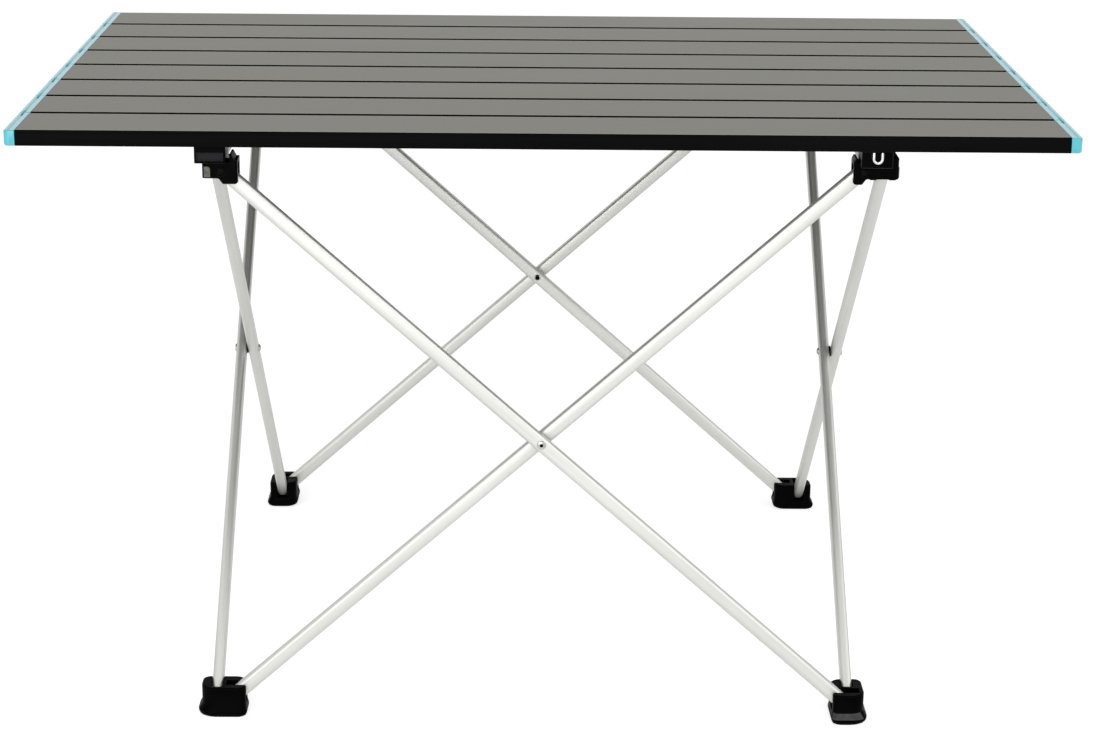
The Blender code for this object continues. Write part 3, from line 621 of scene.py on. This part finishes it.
def top_and_line_faces(tree, start):
    """Return the slat tree's choice of the top's faces, and of the painted highlight lines along its edges.
    """
    normal = add_node(tree, "ShaderNodeSeparateXYZ", {0: add_node(tree, "GeometryNodeInputNormal")})
    offset = add_node(tree, "ShaderNodeVectorMath", {
        0: add_node(tree, "GeometryNodeInputPosition"), 1: start.outputs["Left End"],
    }, operation="SUBTRACT")
    place = add_node(tree, "ShaderNodeSeparateXYZ", {0: offset})
    across = add_node(tree, "ShaderNodeMath", {0: place.outputs["Y"]}, operation="ABSOLUTE")
    tests = []
    for value, limit in (
        (normal.outputs["Z"], SLAT_TOP_FACING),
        (place.outputs["Z"], start.outputs["Top Height"]),
        (across, start.outputs["Line Start"]),
    ):
        tests.append(add_node(tree, "FunctionNodeCompare", {0: value, 1: limit}, operation="GREATER_THAN"))
    facing_up, high_up, near_edge = tests
    top = add_node(tree, "FunctionNodeBooleanMath", {0: facing_up, 1: high_up}, operation="AND")
    line = add_node(tree, "FunctionNodeBooleanMath", {0: top, 1: near_edge}, operation="AND")
    return top, line


def slat_tree():
    """Return the tree that pushes a slat's profile along its length and dresses its faces."""
    tree, start, goal = start_tree("slat_extrusion", (
        ("Left End", "Vector"), ("Right End", "Vector"), ("Top Height", "Float"),
        ("Line Start", "Float"), ("Top", "Material"), ("Line", "Material"), ("Sides", "Material"),
    ))
    profile = add_node(tree, "GeometryNodeMeshToCurve", {"Mesh": start})
    run = add_node(tree, "GeometryNodeCurvePrimitiveLine", {
        "Start": start.outputs["Left End"], "End": start.outputs["Right End"],
    })
    pushed = add_node(tree, "GeometryNodeCurveToMesh", {
        "Curve": run, "Profile Curve": profile, "Fill Caps": True,
    })
    dressed = end_tree(tree, goal, pushed, start.outputs["Sides"])
    for chosen, label in zip(top_and_line_faces(tree, start), ("Top", "Line")):
        dressed = add_node(tree, "GeometryNodeSetMaterial", {
            "Geometry": dressed, "Selection": chosen, "Material": start.outputs[label],
        })
    set_inputs(tree, goal, {"Geometry": dressed})
    return tree


def wire_tree():
    """Return the tree that draws round wire along a polyline."""
    tree, start, goal = start_tree("drawn_wire", (("Wire Radius", "Float"), ("Finish", "Material")))
    path = add_node(tree, "GeometryNodeMeshToCurve", {"Mesh": start})
    section = add_node(tree, "GeometryNodeCurvePrimitiveCircle", {
        "Resolution": WIRE_SIDES, "Radius": start.outputs["Wire Radius"],
    })
    drawn = add_node(tree, "GeometryNodeCurveToMesh", {
        "Curve": path, "Profile Curve": section, "Fill Caps": True,
    })
    end_tree(tree, goal, drawn, start.outputs["Finish"])
    return tree


def head_tree():
    """Return the tree that seats a rivet head on a leg, a set distance out from the crossing."""
    tree, start, goal = start_tree("seated_head", (
        ("Place", "Vector"), ("Turn", "Float"), ("Seat", "Float"), ("Finish", "Material"),
    ))
    outward = add_node(tree, "ShaderNodeMath", {0: start.outputs["Seat"], 1: -1.0}, operation="MULTIPLY")
    seat = add_node(tree, "ShaderNodeCombineXYZ", {"Y": outward})
    point = add_node(tree, "GeometryNodePoints", {"Count": 1, "Position": seat})
    head = add_node(tree, "GeometryNodeInstanceOnPoints", {"Points": point, "Instance": start})
    turn = add_node(tree, "ShaderNodeCombineXYZ", {"Z": start.outputs["Turn"]})
    moved = add_node(tree, "GeometryNodeTransform", {
        "Geometry": head, "Translation": start.outputs["Place"], "Rotation": turn,
    })
    end_tree(tree, goal, moved, start.outputs["Finish"])
    return tree


def grown(name, base, tree, values):
    """Run a tree on a base mesh with values by input name, and return the plain mesh it makes."""
    seed = show(base)
    modifier = seed.modifiers.new("shape", "NODES")
    modifier.node_group = tree
    for item in tree.interface.items_tree:
        if item.item_type == "SOCKET" and item.in_out == "INPUT" and item.name in values:
            modifier[item.identifier] = values[item.name]
    graph = bpy.context.evaluated_depsgraph_get()
    mesh = bpy.data.meshes.new_from_object(seed.evaluated_get(graph))
    mesh.name = name
    bpy.data.objects.remove(seed)
    smooth(mesh)
    return mesh


def polyline(name, points, closed=False):
    """Return a mesh that holds only a line of edges."""
    edges = [(index, index + 1) for index in range(len(points) - 1)]
    if closed:
        edges.append((len(points) - 1, 0))
    mesh = bpy.data.meshes.new(name)
    mesh.from_pydata([tuple(point) for point in points], edges, [])
    return mesh


# The top


def slat_profile():
    """Return a slat's section, as (across, up) from the middle of its underside."""
    low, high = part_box("slat_1")
    half = (high.y - low.y) / 2
    thickness = high.z - low.z
    wall = SLAT_SIDE_WALL
    lip_end = half - SLAT_LIP
    ceiling = thickness - SLAT_TOP_WALL
    band = thickness - SLAT_BAND_HEIGHT
    shoulder = half - SLAT_BAND_LEAN
    right = [
        (shoulder - wall, ceiling, 0),
        (half - wall, band, 0),
        (half - wall, wall, 0),
        (lip_end, wall, 0),
        (lip_end, 0, 0),
        (half, 0, SLAT_FOOT_RADIUS),
        (half, band, SLAT_FOOT_RADIUS),
        (shoulder, thickness, SLAT_EDGE_RADIUS),
        (shoulder - SLAT_LINE_WIDTH, thickness, 0),
    ]
    left = [(-across, up, radius) for across, up, radius in reversed(right)]
    return rounded(right + left)


def make_slats(finishes):
    """Make the eight slats by pushing one profile between each slat's ends."""
    tree = slat_tree()
    points = [Vector((-p.x, -p.y, 0)) for p in slat_profile()]
    for number in range(1, SLAT_COUNT + 1):
        node = f"slat_{number}"
        low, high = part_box(node)
        middle = (low.y + high.y) / 2
        shoulder = (high.y - low.y) / 2 - SLAT_BAND_LEAN
        mesh = grown(node + "_extrusion", polyline("profile", points, closed=True), tree, {
            "Left End": (low.x, middle, low.z), "Right End": (high.x, middle, low.z),
            "Top Height": high.z - low.z - SLAT_EDGE_RADIUS, "Line Start": shoulder - SLAT_LINE_WIDTH,
            # The Line material paints a highlight along each top edge of the slat
            "Top": finishes["slat_top"], "Line": finishes["slat_highlight_line"], "Sides": finishes["slat_side"],
        })
        place_piece(show(mesh), node, "slat_aluminium", node)


def cap_section(x_out, top, dip, inset):
    """Return a right cap's section as (x, z) from the slat side at x = 0 to its outer face."""
    full = min(1, x_out / CAP_FULL_REACH)
    strip = CAP_STRIP * full
    rim = x_out - CAP_RIM * full
    upper = top - inset
    fold = CAP_FOLD_RADIUS * full
    return rounded([
        (0, inset, 0),
        (0, upper, fold),
        (strip, upper, fold),
        (strip + CAP_SLOPE_RUN * full, upper - dip, fold),
        (rim - CAP_SLOPE_RUN * full, upper - dip, fold),
        (rim, upper, fold),
        (x_out, upper, CAP_EDGE_RADIUS * full),
        (x_out, inset, CAP_FOOT_RADIUS * full),
    ])


def cap_rings(low_y, high_y, low_free, high_free, length, thickness):
    """Return a right cap's sections from front to back, in its slat's place at x = 0."""
    stations = []
    for end, free, inward in ((low_y, low_free, 1), (high_y, high_free, -1)):
        radius = CAP_CORNER_RADIUS if free else CAP_NOTCH_RADIUS
        part = []
        for step in range(CAP_STEPS + 1):
            turn = math.pi / 2 * step / CAP_STEPS
            away = radius * (1 - math.cos(turn))
            reach = length - radius * (1 - math.sin(turn))
            inset = CAP_SEAM_RADIUS * (1 - min(1, away / CAP_SEAM_RADIUS))
            part.append((end + inward * away, reach, inset))
        for step in range(1, CAP_STEPS + 1):
            distance = radius + (CAP_POCKET_LENGTH - radius) * step / CAP_STEPS
            part.append((end + inward * distance, length, 0.0))
        stations.append(part)
    ordered = stations[0] + list(reversed(stations[1]))
    rings = []
    for y, reach, inset in ordered:
        dip = CAP_GROOVE_DEPTH
        for end, free in ((low_y, low_free), (high_y, high_free)):
            if not free:
                rise = abs(y - end) / CAP_POCKET_LENGTH
                dip = max(dip, CAP_POCKET_DEPTH * (1 - rise * rise))
        rings.append([Vector((p.x, y, p.y)) for p in cap_section(reach, thickness, dip, inset)])
    return rings


def dress_groove(shape, length, top):
    """Give the groove's material, the second one, to the faces of a right cap's groove and pockets."""
    for face in shape.faces:
        middle = face.calc_center_median()
        if CAP_STRIP < middle.x < length - CAP_RIM and top - 2 * CAP_POCKET_DEPTH < middle.z < top:
            face.material_index = 1


def add_plug(shape, slat_low, slat_high, thickness):
    """Add the plug of a right cap to its bmesh: a block with its underside hollowed out."""
    inset = SLAT_SIDE_WALL + SLAT_BAND_LEAN + PART_GAP
    front = slat_low.y + inset
    back = slat_high.y - inset
    bottom = SLAT_SIDE_WALL + PART_GAP
    top = thickness - SLAT_TOP_WALL - PART_GAP
    wall = CAP_PLUG_WALL
    outer = rectangle(-CAP_PLUG_LENGTH, CAP_PLUG_OVERLAP, front, back)
    inner = rectangle(wall - CAP_PLUG_LENGTH, CAP_PLUG_OVERLAP - wall, front + wall, back - wall)
    loops = ((outer, top), (outer, bottom), (inner, bottom), (inner, top - CAP_PLUG_ROOF))
    add_skin(shape, [[(x, y, z) for x, y in outline] for outline, z in loops])


def make_caps(finishes):
    """Make the sixteen end caps, with a flange lofted from front to back and a plug in the slat."""
    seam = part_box("slat_1")[1].x + PART_GAP
    length = cad_box[1].x - seam
    for number in range(1, SLAT_COUNT + 1):
        slat = f"slat_{number}"
        for side, name in ((-1, "left"), (1, "right")):
            node = f"cap_{name}_{number}"
            low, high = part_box(node)
            thickness = high.z - low.z
            rings = cap_rings(low.y, high.y, number == 1, number == SLAT_COUNT, length, thickness)
            shape = lofted(rings)
            dress_groove(shape, length, thickness)
            add_plug(shape, *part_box(slat), thickness)
            bmesh.ops.transform(shape, verts=shape.verts, matrix=Matrix.Translation((seam, 0, low.z)))
            if side < 0:
                bmesh.ops.scale(shape, verts=shape.verts, vec=(-1, 1, 1))
            mesh = mesh_from(node + "_moulding", shape, finishes["cap"])
            mesh.materials.append(finishes["cap_groove"])
            smooth(mesh, CAP_SHARP_ANGLE)
            place_piece(show(mesh), slat, "cap_plastic", node)


def make_eyelet(label, body, face, outward, centre, material):
    """Make the eyelet round a cord's centre (x, z) where it leaves a slat's face."""
    bore = CORD_RADIUS + EYELET_CLEARANCE
    rim = face + outward * EYELET_THICKNESS
    section = rounded([
        (bore, face, 0),
        (EYELET_RADIUS, face, 0),
        (EYELET_RADIUS, rim, EYELET_THICKNESS / 3),
        (bore, rim, EYELET_THICKNESS / 3),
    ], steps=TINY_CORNER_STEPS)
    eyelet = lathe_ring(f"{label}_eyelet_{body}", section, centre, material, EYELET_SIDES)
    place_piece(eyelet, body, "pin_metal")


def make_cords(finishes):
    """Make the elastic cord in each gap between slats, with an eyelet where it enters a slat."""
    tree = wire_tree()
    slat_low, slat_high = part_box("slat_1")
    level = (slat_low.z + slat_high.z) / 2
    for number in range(1, SLAT_COUNT):
        bodies = (f"slat_{number}", f"slat_{number + 1}")
        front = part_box(bodies[0])[1].y
        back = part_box(bodies[1])[0].y
        run = back - front + 2 * SLAT_SIDE_WALL
        for side, name in ((-1, "left"), (1, "right")):
            x = side * (cad_box[1].x - CORD_INSET)
            path = []
            for step in range(CORD_STEPS + 1):
                path.append(Vector((x, front - SLAT_SIDE_WALL + run * step / CORD_STEPS, level)))
            label = f"cord_{name}_{number}"
            mesh = grown(label, polyline("cord_path", path), tree, {
                "Wire Radius": CORD_RADIUS, "Finish": finishes["cord"],
            })
            cord = show(mesh)
            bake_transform(cord)
            for body, face, outward in ((bodies[0], front, 1), (bodies[1], back, -1)):
                make_eyelet(label, body, face, outward, (x, level), finishes["pin"])


def lathe_ring(name, section, centre, material, sides):
    """Return a ring with a section of (radius, y), round an axis along Y through centre (x, z)."""
    rings = []
    for side in range(sides):
        turn = 2 * math.pi * side / sides
        ring = []
        for point in section:
            x = centre[0] + point.x * math.cos(turn)
            z = centre[1] + point.x * math.sin(turn)
            ring.append(Vector((x, point.y, z)))
        rings.append(ring)
    mesh = mesh_from(name, lofted(rings, joined=True), material)
    smooth(mesh)
    return show(mesh)


# The frame


def leg_line(side, kind):
    """Return a leg's two pivots, low end first."""
    turn = quarter_turns(side)
    outward = -1 if kind == "outer" else 1
    y = -FRAME_HALF + outward * LEG_OFFSET
    low_x = HALF_SPAN if kind == "outer" else -HALF_SPAN
    return turn @ Vector((low_x, y, LOW_PIVOT)), turn @ Vector((-low_x, y, TOP_PIVOT))


def domed_tube(low, high, across):
    """Return a leg tube's bmesh from pivot to pivot, with both ends domed past the pivots."""
    along = (high - low).normalized()
    up = along.cross(across)
    half_width = LEG_WIDTH / 2
    half_thickness = LEG_THICKNESS / 2
    corners = rectangle(-half_thickness, half_thickness, -half_width, half_width)
    outline = rounded([(u, v, LEG_EDGE_RADIUS) for u, v in corners])
    stations = []
    for step in range(DOME_RINGS):
        turn = math.pi / 2 * step / (DOME_RINGS - 1)
        reach = half_width * math.cos(turn)
        wide = max(math.sin(turn), DOME_TIP)
        past = max(0.0, (reach - half_width + half_thickness) / half_thickness)
        thick = max(math.sqrt(max(0.0, 1 - past * past)), DOME_TIP)
        stations.append((reach, wide, thick))
    rings = []
    for pivot, outward, order in ((low, -along, stations), (high, along, reversed(stations))):
        for reach, wide, thick in order:
            centre = pivot + outward * reach
            ring = [centre + across * point.x * thick + up * point.y * wide for point in outline]
            rings.append(ring)
    return lofted(rings)


def lay_grain(mesh, low, high, across):
    """Store a UV map in metres that runs along a leg, for its draw lines."""
    along = (high - low).normalized()
    up = along.cross(across)
    layer = mesh.uv_layers.new(name="grain")
    for loop in mesh.loops:
        offset = mesh.vertices[loop.vertex_index].co - low
        sideways = offset.dot(across) + WIDE_FACE_GRAIN * offset.dot(up)
        layer.data[loop.index].uv = (offset.dot(along), sideways)


def make_legs(finishes):
    """Make the eight leg tubes, with draw lines along each one."""
    for side, name in enumerate(SIDES):
        across = quarter_turns(side) @ Vector((0, 1, 0))
        for kind in ("inner", "outer"):
            node = f"leg_{name}_{kind}"
            low, high = leg_line(side, kind)
            mesh = mesh_from(node + "_tube", domed_tube(low, high, across), finishes["leg"])
            smooth(mesh)
            lay_grain(mesh, low, high, across)
            place_piece(show(mesh), node, "leg_aluminium", node)


def head_mesh(name, radius, bore_radius):
    """Return a low domed head with a bore in it, on the plane y = 0 and facing -Y."""
    profile = [(0.0, 0.0), (radius, 0.0), (radius, HEAD_RIM)]
    for step in range(1, HEAD_DOME_STEPS):
        turn = math.pi / 2 * step / HEAD_DOME_STEPS
        reach = radius * math.cos(turn)
        if reach > bore_radius * BORE_LAND:
            profile.append((reach, HEAD_RIM + (RIVET_HEAD_HEIGHT - HEAD_RIM) * math.sin(turn)))
    bore_floor = RIVET_HEAD_HEIGHT - RIVET_BORE_DEPTH
    profile.append((bore_radius, RIVET_HEAD_HEIGHT - RIVET_BORE_CHAMFER))
    profile += [(bore_radius, bore_floor), (0.0, bore_floor)]
    shape = bmesh.new()
    points = [shape.verts.new((r, -h, 0)) for r, h in profile]
    for first, second in zip(points, points[1:]):
        shape.edges.new((first, second))
    bmesh.ops.spin(shape, geom=shape.verts[:] + shape.edges[:], cent=(0, 0, 0), axis=(0, 1, 0),
                   angle=2 * math.pi, steps=HEAD_SIDES, use_merge=True)
    bmesh.ops.remove_doubles(shape, verts=shape.verts, dist=MERGE_DISTANCE)
    return mesh_from(name, shape)


def paint_bore_shade(mesh, centre, axis, radius, material):
    """Give the faces of a head that lie inside its bore a dark material, as painted shade in the bore."""
    mesh.materials.append(material)
    index = len(mesh.materials) - 1
    for face in mesh.polygons:
        offset = face.center - centre
        if (offset - axis * offset.dot(axis)).length < radius * BORE_REACH:
            face.material_index = index


def make_spacer(name, place, finishes):
    """Make the dark spacer between the two tubes of a crossing."""
    half = SPACER_THICKNESS / 2
    section = rounded([
        (RIVET_HEAD_RADIUS / 2, -half, 0),
        (SPACER_RADIUS, -half, half / 2),
        (SPACER_RADIUS, half, half / 2),
        (RIVET_HEAD_RADIUS / 2, half, 0),
    ], steps=TINY_CORNER_STEPS)
    spacer = lathe_ring("crossing_spacer_" + name, section, (0, 0), finishes["pin"], SPACER_SIDES)
    spacer.data.transform(place)
    place_piece(spacer, f"leg_{name}_inner", "rivet_metal")


def make_rivets(finishes):
    """Make the four crossing rivets: a head, a rolled end, and a spacer between the tubes."""
    tree = head_tree()
    seat = LEG_OFFSET + LEG_THICKNESS / 2 + PART_GAP / 2
    ends = (
        ("head", 0.0, RIVET_HEAD_RADIUS, RIVET_BORE_RADIUS),
        ("rolled_end", math.pi, RIVET_ROLL_RADIUS, RIVET_ROLL_BORE_RADIUS),
    )
    for side, name in enumerate(SIDES):
        turn = quarter_turns(side)
        centre = turn @ Vector((0, -FRAME_HALF, CROSSING_HEIGHT))
        axis = turn @ Vector((0, 1, 0))
        node = "crossing_rivet_" + name
        for label, flip, radius, bore in ends:
            mesh = grown(node + "_" + label, head_mesh("rivet_" + label, radius, bore), tree, {
                "Place": tuple(centre), "Turn": math.pi / 2 * side + flip, "Seat": seat,
                "Finish": finishes["rivet"],
            })
            # The bore's faces take the black oxide material as painted shade
            paint_bore_shade(mesh, centre, axis, bore, finishes["pin"])
            nodes = [node] if label == "head" else []
            place_piece(show(mesh), f"leg_{name}_inner", "rivet_metal", *nodes)
        make_spacer(name, Matrix.Translation(centre) @ turn, finishes)


def cut_above(mesh, point, normal):
    """Cut away what lies beyond a plane, and close the cut."""
    shape = bmesh.new()
    shape.from_mesh(mesh)
    parts = shape.verts[:] + shape.edges[:] + shape.faces[:]
    cut = bmesh.ops.bisect_plane(shape, geom=parts, dist=CUT_DISTANCE, plane_co=point, plane_no=normal,
                                 clear_outer=True)
    rim = [item for item in cut["geom_cut"] if isinstance(item, bmesh.types.BMEdge)]
    bmesh.ops.edgeloop_fill(shape, edges=rim)
    bmesh.ops.recalc_face_normals(shape, faces=shape.faces)
    shape.to_mesh(mesh)
    shape.free()
    smooth(mesh)


def slab(name, outline, low_y, high_y, place, material):
    """Return a piece pushed along Y from an outline of (x, z), in a hub's own place."""
    rings = [[Vector((point.x, y, point.y)) for point in outline] for y in (low_y, high_y)]
    shape = lofted(rings)
    bmesh.ops.transform(shape, verts=shape.verts, matrix=place)
    mesh = mesh_from(name, shape, material)
    smooth(mesh)
    return show(mesh)


def make_ear(name, place, finishes):
    """Make the sloping filler behind the ear on a hub's long side."""
    inside = HUB_LONG_END - EAR_THICKNESS - EAR_FILL
    shoulder = HUB_LONG_END - EAR_SHOULDER
    outline = rounded([
        (inside, HUB_SADDLE - EAR_ROOT, 0),
        (inside, HUB_SADDLE + EAR_HIGH, EAR_CORNER_RADIUS),
        (inside + EAR_CREST, HUB_SADDLE + EAR_HIGH, EAR_CORNER_RADIUS),
        (shoulder, HUB_SADDLE + EAR_LOW, EAR_CORNER_RADIUS),
        (shoulder, HUB_SADDLE - EAR_ROOT, 0),
    ], steps=EAR_CORNER_STEPS)
    ear = slab("hub_ear_" + name, outline, HUB_FRONT_FACE + EAR_INSET, HUB_CHANNEL_START - EAR_INSET,
               place, finishes["hub"])
    soften(ear, MOULDED_EDGE)
    place_piece(ear, "hub_" + name, "hub_plastic")


def make_plate(name, place, finishes):
    """Make the small plate in a hub's face, coloured as a leg tube's end in painted shade."""
    left = HUB_SIDE_FACE + PLATE_START
    right = left + PLATE_WIDTH
    outline = rounded([
        (left, -PLATE_HALF_HEIGHT, PLATE_CORNER_RADIUS),
        (left, PLATE_HALF_HEIGHT, PLATE_CORNER_RADIUS),
        (right, PLATE_HALF_HEIGHT, PLATE_ROUND_RADIUS),
        (right, -PLATE_HALF_HEIGHT, PLATE_CORNER_RADIUS),
    ])
    half = PLATE_THICKNESS / 2
    plate = slab("hub_plate_" + name, outline, HUB_FRONT_FACE - half, HUB_FRONT_FACE + half,
                 place, finishes["plate"])
    soften(plate, MACHINED_EDGE)
    place_piece(plate, "hub_" + name, "pin_metal")


def make_hub(corner, name, finishes):
    """Finish a hub, whose ear is low with a filler on two corners and sloped on the other two."""
    place = quarter_turns(corner) @ Matrix.Translation((-FRAME_HALF, -FRAME_HALF, TOP_PIVOT))
    node = "hub_" + name
    # The bevelled edges take a painted grey highlight
    hub = soft_copy(node, MOULDED_EDGE, finishes["hub"], finishes["hub_edge_highlight"])
    if corner % 2 == 0:
        cut_above(hub.data, place @ Vector((0, 0, HUB_SADDLE + EAR_LOW)), Vector((0, 0, 1)))
        make_ear(name, place, finishes)
    else:
        slope = place.to_3x3() @ Vector((0, EAR_HIGH - EAR_LOW, EAR_SLOPE))
        cut_above(hub.data, place @ Vector((0, HUB_SHORT_END, HUB_SADDLE + EAR_FOOT)), slope)
    place_piece(hub, node, "hub_plastic", node)
    # The plate's colour is painted shade: the grey-olive of a leg tube's end in shade
    make_plate(name, place, finishes)


def paint_skirt_highlight(mesh):
    """Give the painted highlight material, the second one, to the front slope of a foot's skirt, which faces
    up to the light.
    """
    for face in mesh.polygons:
        sloped = face.normal.z > SKIRT_RISE and -face.normal.y > SKIRT_FACING
        if sloped and SKIRT_LOW < face.center.z < SKIRT_HIGH:
            face.material_index = 1


def make_corners(finishes):
    """Finish the hubs, their pins and the feet."""
    for corner, name in enumerate(CORNERS):
        make_hub(corner, name, finishes)
        node = "foot_" + name
        # The bevelled edges take a painted grey highlight, and on the front right foot the skirt's front
        # slope does too
        foot = soft_copy(node, MOULDED_EDGE, finishes["foot"], finishes["foot_highlight"])
        if name == "front_right":
            paint_skirt_highlight(foot.data)
        place_piece(foot, node, "foot_rubber", node)
        for kind in ("outer", "inner"):
            node = f"hub_pin_{kind}_{name}"
            place_piece(soft_copy(node, None, finishes["pin"]), "hub_" + name, "pin_metal", node)


# The rails


def settle_recess(mesh, low, high, outer_face, inward, material):
    """Lower the recess in a rail end's face to its place, and give its floor a matt material."""
    middle = (low + high) / 2
    floor_face = outer_face + inward * RECESS_DEPTH
    for point in mesh.vertices:
        place = point.co
        inside = abs(place.x - middle.x) < RECESS_WIDTH / 2 + RECESS_MARGIN
        level = abs(place.z - middle.z) < RECESS_HEIGHT / 2 + RECESS_MARGIN
        if inside and level and inward * (place.y - floor_face) < RECESS_MARGIN:
            place.z -= RECESS_DROP
    mesh.materials.append(material)
    for face in mesh.polygons:
        if abs(face.normal.y) > RECESS_FACING and abs(face.center.y - floor_face) < RECESS_MARGIN:
            face.material_index = len(mesh.materials) - 1


def loop_route(x, face, inside, top, bottom):
    """Return the points along a wire loop: out, down one side, round the bottom, up and back in."""
    points = [Vector((x + LOOP_HALF, inside, top)), Vector((x + LOOP_HALF, face, top))]
    for step in range(LOOP_STEPS + 1):
        turn = math.pi * step / LOOP_STEPS
        height = bottom + LOOP_HALF * (1 - math.sin(turn))
        points.append(Vector((x + LOOP_HALF * math.cos(turn), face, height)))
    points.append(Vector((x - LOOP_HALF, face, top)))
    points.append(Vector((x - LOOP_HALF, inside, top)))
    return points


def make_rails(finishes):
    """Finish the two support rails and the four rail ends."""
    for name in ("left", "right"):
        body = "rail_" + name
        rail = soft_copy("support_" + body, MACHINED_EDGE, finishes["rail"])
        place_piece(rail, body, "rail_aluminium", "support_" + body)
        for end, inward in (("front", 1), ("back", -1)):
            node = f"rail_end_{end}_{name}"
            low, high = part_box(node)
            # The bevelled edges take a painted grey highlight
            block = soft_copy(node, MOULDED_EDGE, finishes["hub"], finishes["hub_edge_highlight"])
            outer_face = low.y if inward > 0 else high.y
            settle_recess(block.data, low, high, outer_face, inward, finishes["hub_matt"])
            place_piece(block, body, "hub_plastic", node)


def make_loops(finishes):
    """Bend the two wire loops, on the front right and the back left rail end."""
    tree = wire_tree()
    for end, name, outward in (("front", "right", -1), ("back", "left", 1)):
        node = f"wire_loop_{end}_{name}"
        low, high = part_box(node)
        x = (low.x + high.x) / 2
        face = low.y + WIRE_RADIUS if outward < 0 else high.y - WIRE_RADIUS
        inside = high.y if outward < 0 else low.y
        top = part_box(f"rail_end_{end}_{name}")[1].z - WIRE_RADIUS - LOOP_TOP_COVER
        points = loop_route(x, face, inside, top, low.z + WIRE_RADIUS)
        mesh = grown(node + "_bent", polyline("loop_path", points), tree, {
            "Wire Radius": WIRE_RADIUS, "Finish": finishes["wire"],
        })
        place_piece(show(mesh), "rail_" + name, "loop_steel", node)


# Stage, light and camera


def seen_or_mirrored(tree):
    """Return a value that is 1 for what is seen, mirrored or seen through glass, and 0 for light."""
    path = add_node(tree, "ShaderNodeLightPath")
    seen = path.outputs["Is Camera Ray"]
    for kind in ("Is Glossy Ray", "Is Transmission Ray"):
        seen = add_node(tree, "ShaderNodeMath", {0: seen, 1: path.outputs[kind]}, operation="MAXIMUM")
    return seen


def make_floor():
    """Make the floor, which shows white to the camera and in reflections but keeps its shadow."""
    mesh = bpy.data.meshes.new("floor")
    corners = rectangle(-FLOOR_HALF, FLOOR_HALF, -FLOOR_HALF, FLOOR_HALF)
    mesh.from_pydata([(x, y, 0) for x, y in corners], [], [(0, 1, 2, 3)])
    material, tree, _ = start_material("pale_studio_floor")
    tree.nodes.clear()
    glow = add_node(tree, "ShaderNodeMath", {0: seen_or_mirrored(tree), 1: FLOOR_GLOW}, operation="MULTIPLY")
    paint = add_node(tree, "ShaderNodeBsdfDiffuse", {"Color": colour(FLOOR_PAINT)})
    light = add_node(tree, "ShaderNodeEmission", {"Color": colour(WHITE), "Strength": glow})
    both = add_node(tree, "ShaderNodeAddShader", {0: paint, 1: light})
    add_node(tree, "ShaderNodeOutputMaterial", {"Surface": both})
    mesh.materials.append(material)
    show(mesh)


def make_world():
    """Make the even studio surround: white where it is seen or mirrored, softer as a light."""
    world = bpy.data.worlds.new("white_studio")
    bpy.context.scene.world = world
    world.use_nodes = True
    tree = world.node_tree
    tree.nodes.clear()
    strength = add_node(tree, "ShaderNodeMapRange", {
        "Value": seen_or_mirrored(tree), "To Min": WORLD_LIGHT, "To Max": 1.0,
    })
    sky = add_node(tree, "ShaderNodeBackground", {"Color": colour(WHITE), "Strength": strength})
    add_node(tree, "ShaderNodeOutputWorld", {"Surface": sky})


def add_softbox(name, place, aim, size, watts):
    """Add a square soft light that points at a spot."""
    lamp = bpy.data.lights.new(name, "AREA")
    lamp.shape = "SQUARE"
    lamp.size = size
    lamp.energy = watts
    light = show(lamp)
    light.location = place
    light.rotation_euler = (Vector(aim) - Vector(place)).to_track_quat("-Z", "Y").to_euler()


def make_camera():
    """Make the camera at the photograph's viewing angle."""
    data = bpy.data.cameras.new("photo_angle")
    data.lens = CAMERA_LENS
    data.sensor_width = CAMERA_SENSOR
    data.clip_start = CAMERA_NEAR
    camera = show(data)
    turn = Matrix.Rotation(CAMERA_TURN, 4, "Z")
    tilt = Matrix.Rotation(math.pi / 2 + CAMERA_TILT, 4, "X")
    roll = Matrix.Rotation(-CAMERA_ROLL, 4, "Z")
    camera.matrix_world = Matrix.Translation(CAMERA_PLACE) @ turn @ tilt @ roll
    bpy.context.scene.camera = camera


def main():
    """Dress every CAD node, add the small pieces, and light and frame the table."""
    bpy.context.scene.view_settings.view_transform = "Standard"
    make_camera()
    finishes = {**top_finishes(), **metal_finishes(), **moulded_finishes()}
    make_slats(finishes)
    make_caps(finishes)
    make_cords(finishes)
    make_legs(finishes)
    make_rivets(finishes)
    make_corners(finishes)
    make_rails(finishes)
    make_loops(finishes)
    make_floor()
    make_world()
    for softbox in SOFTBOXES:
        add_softbox(*softbox)


main()
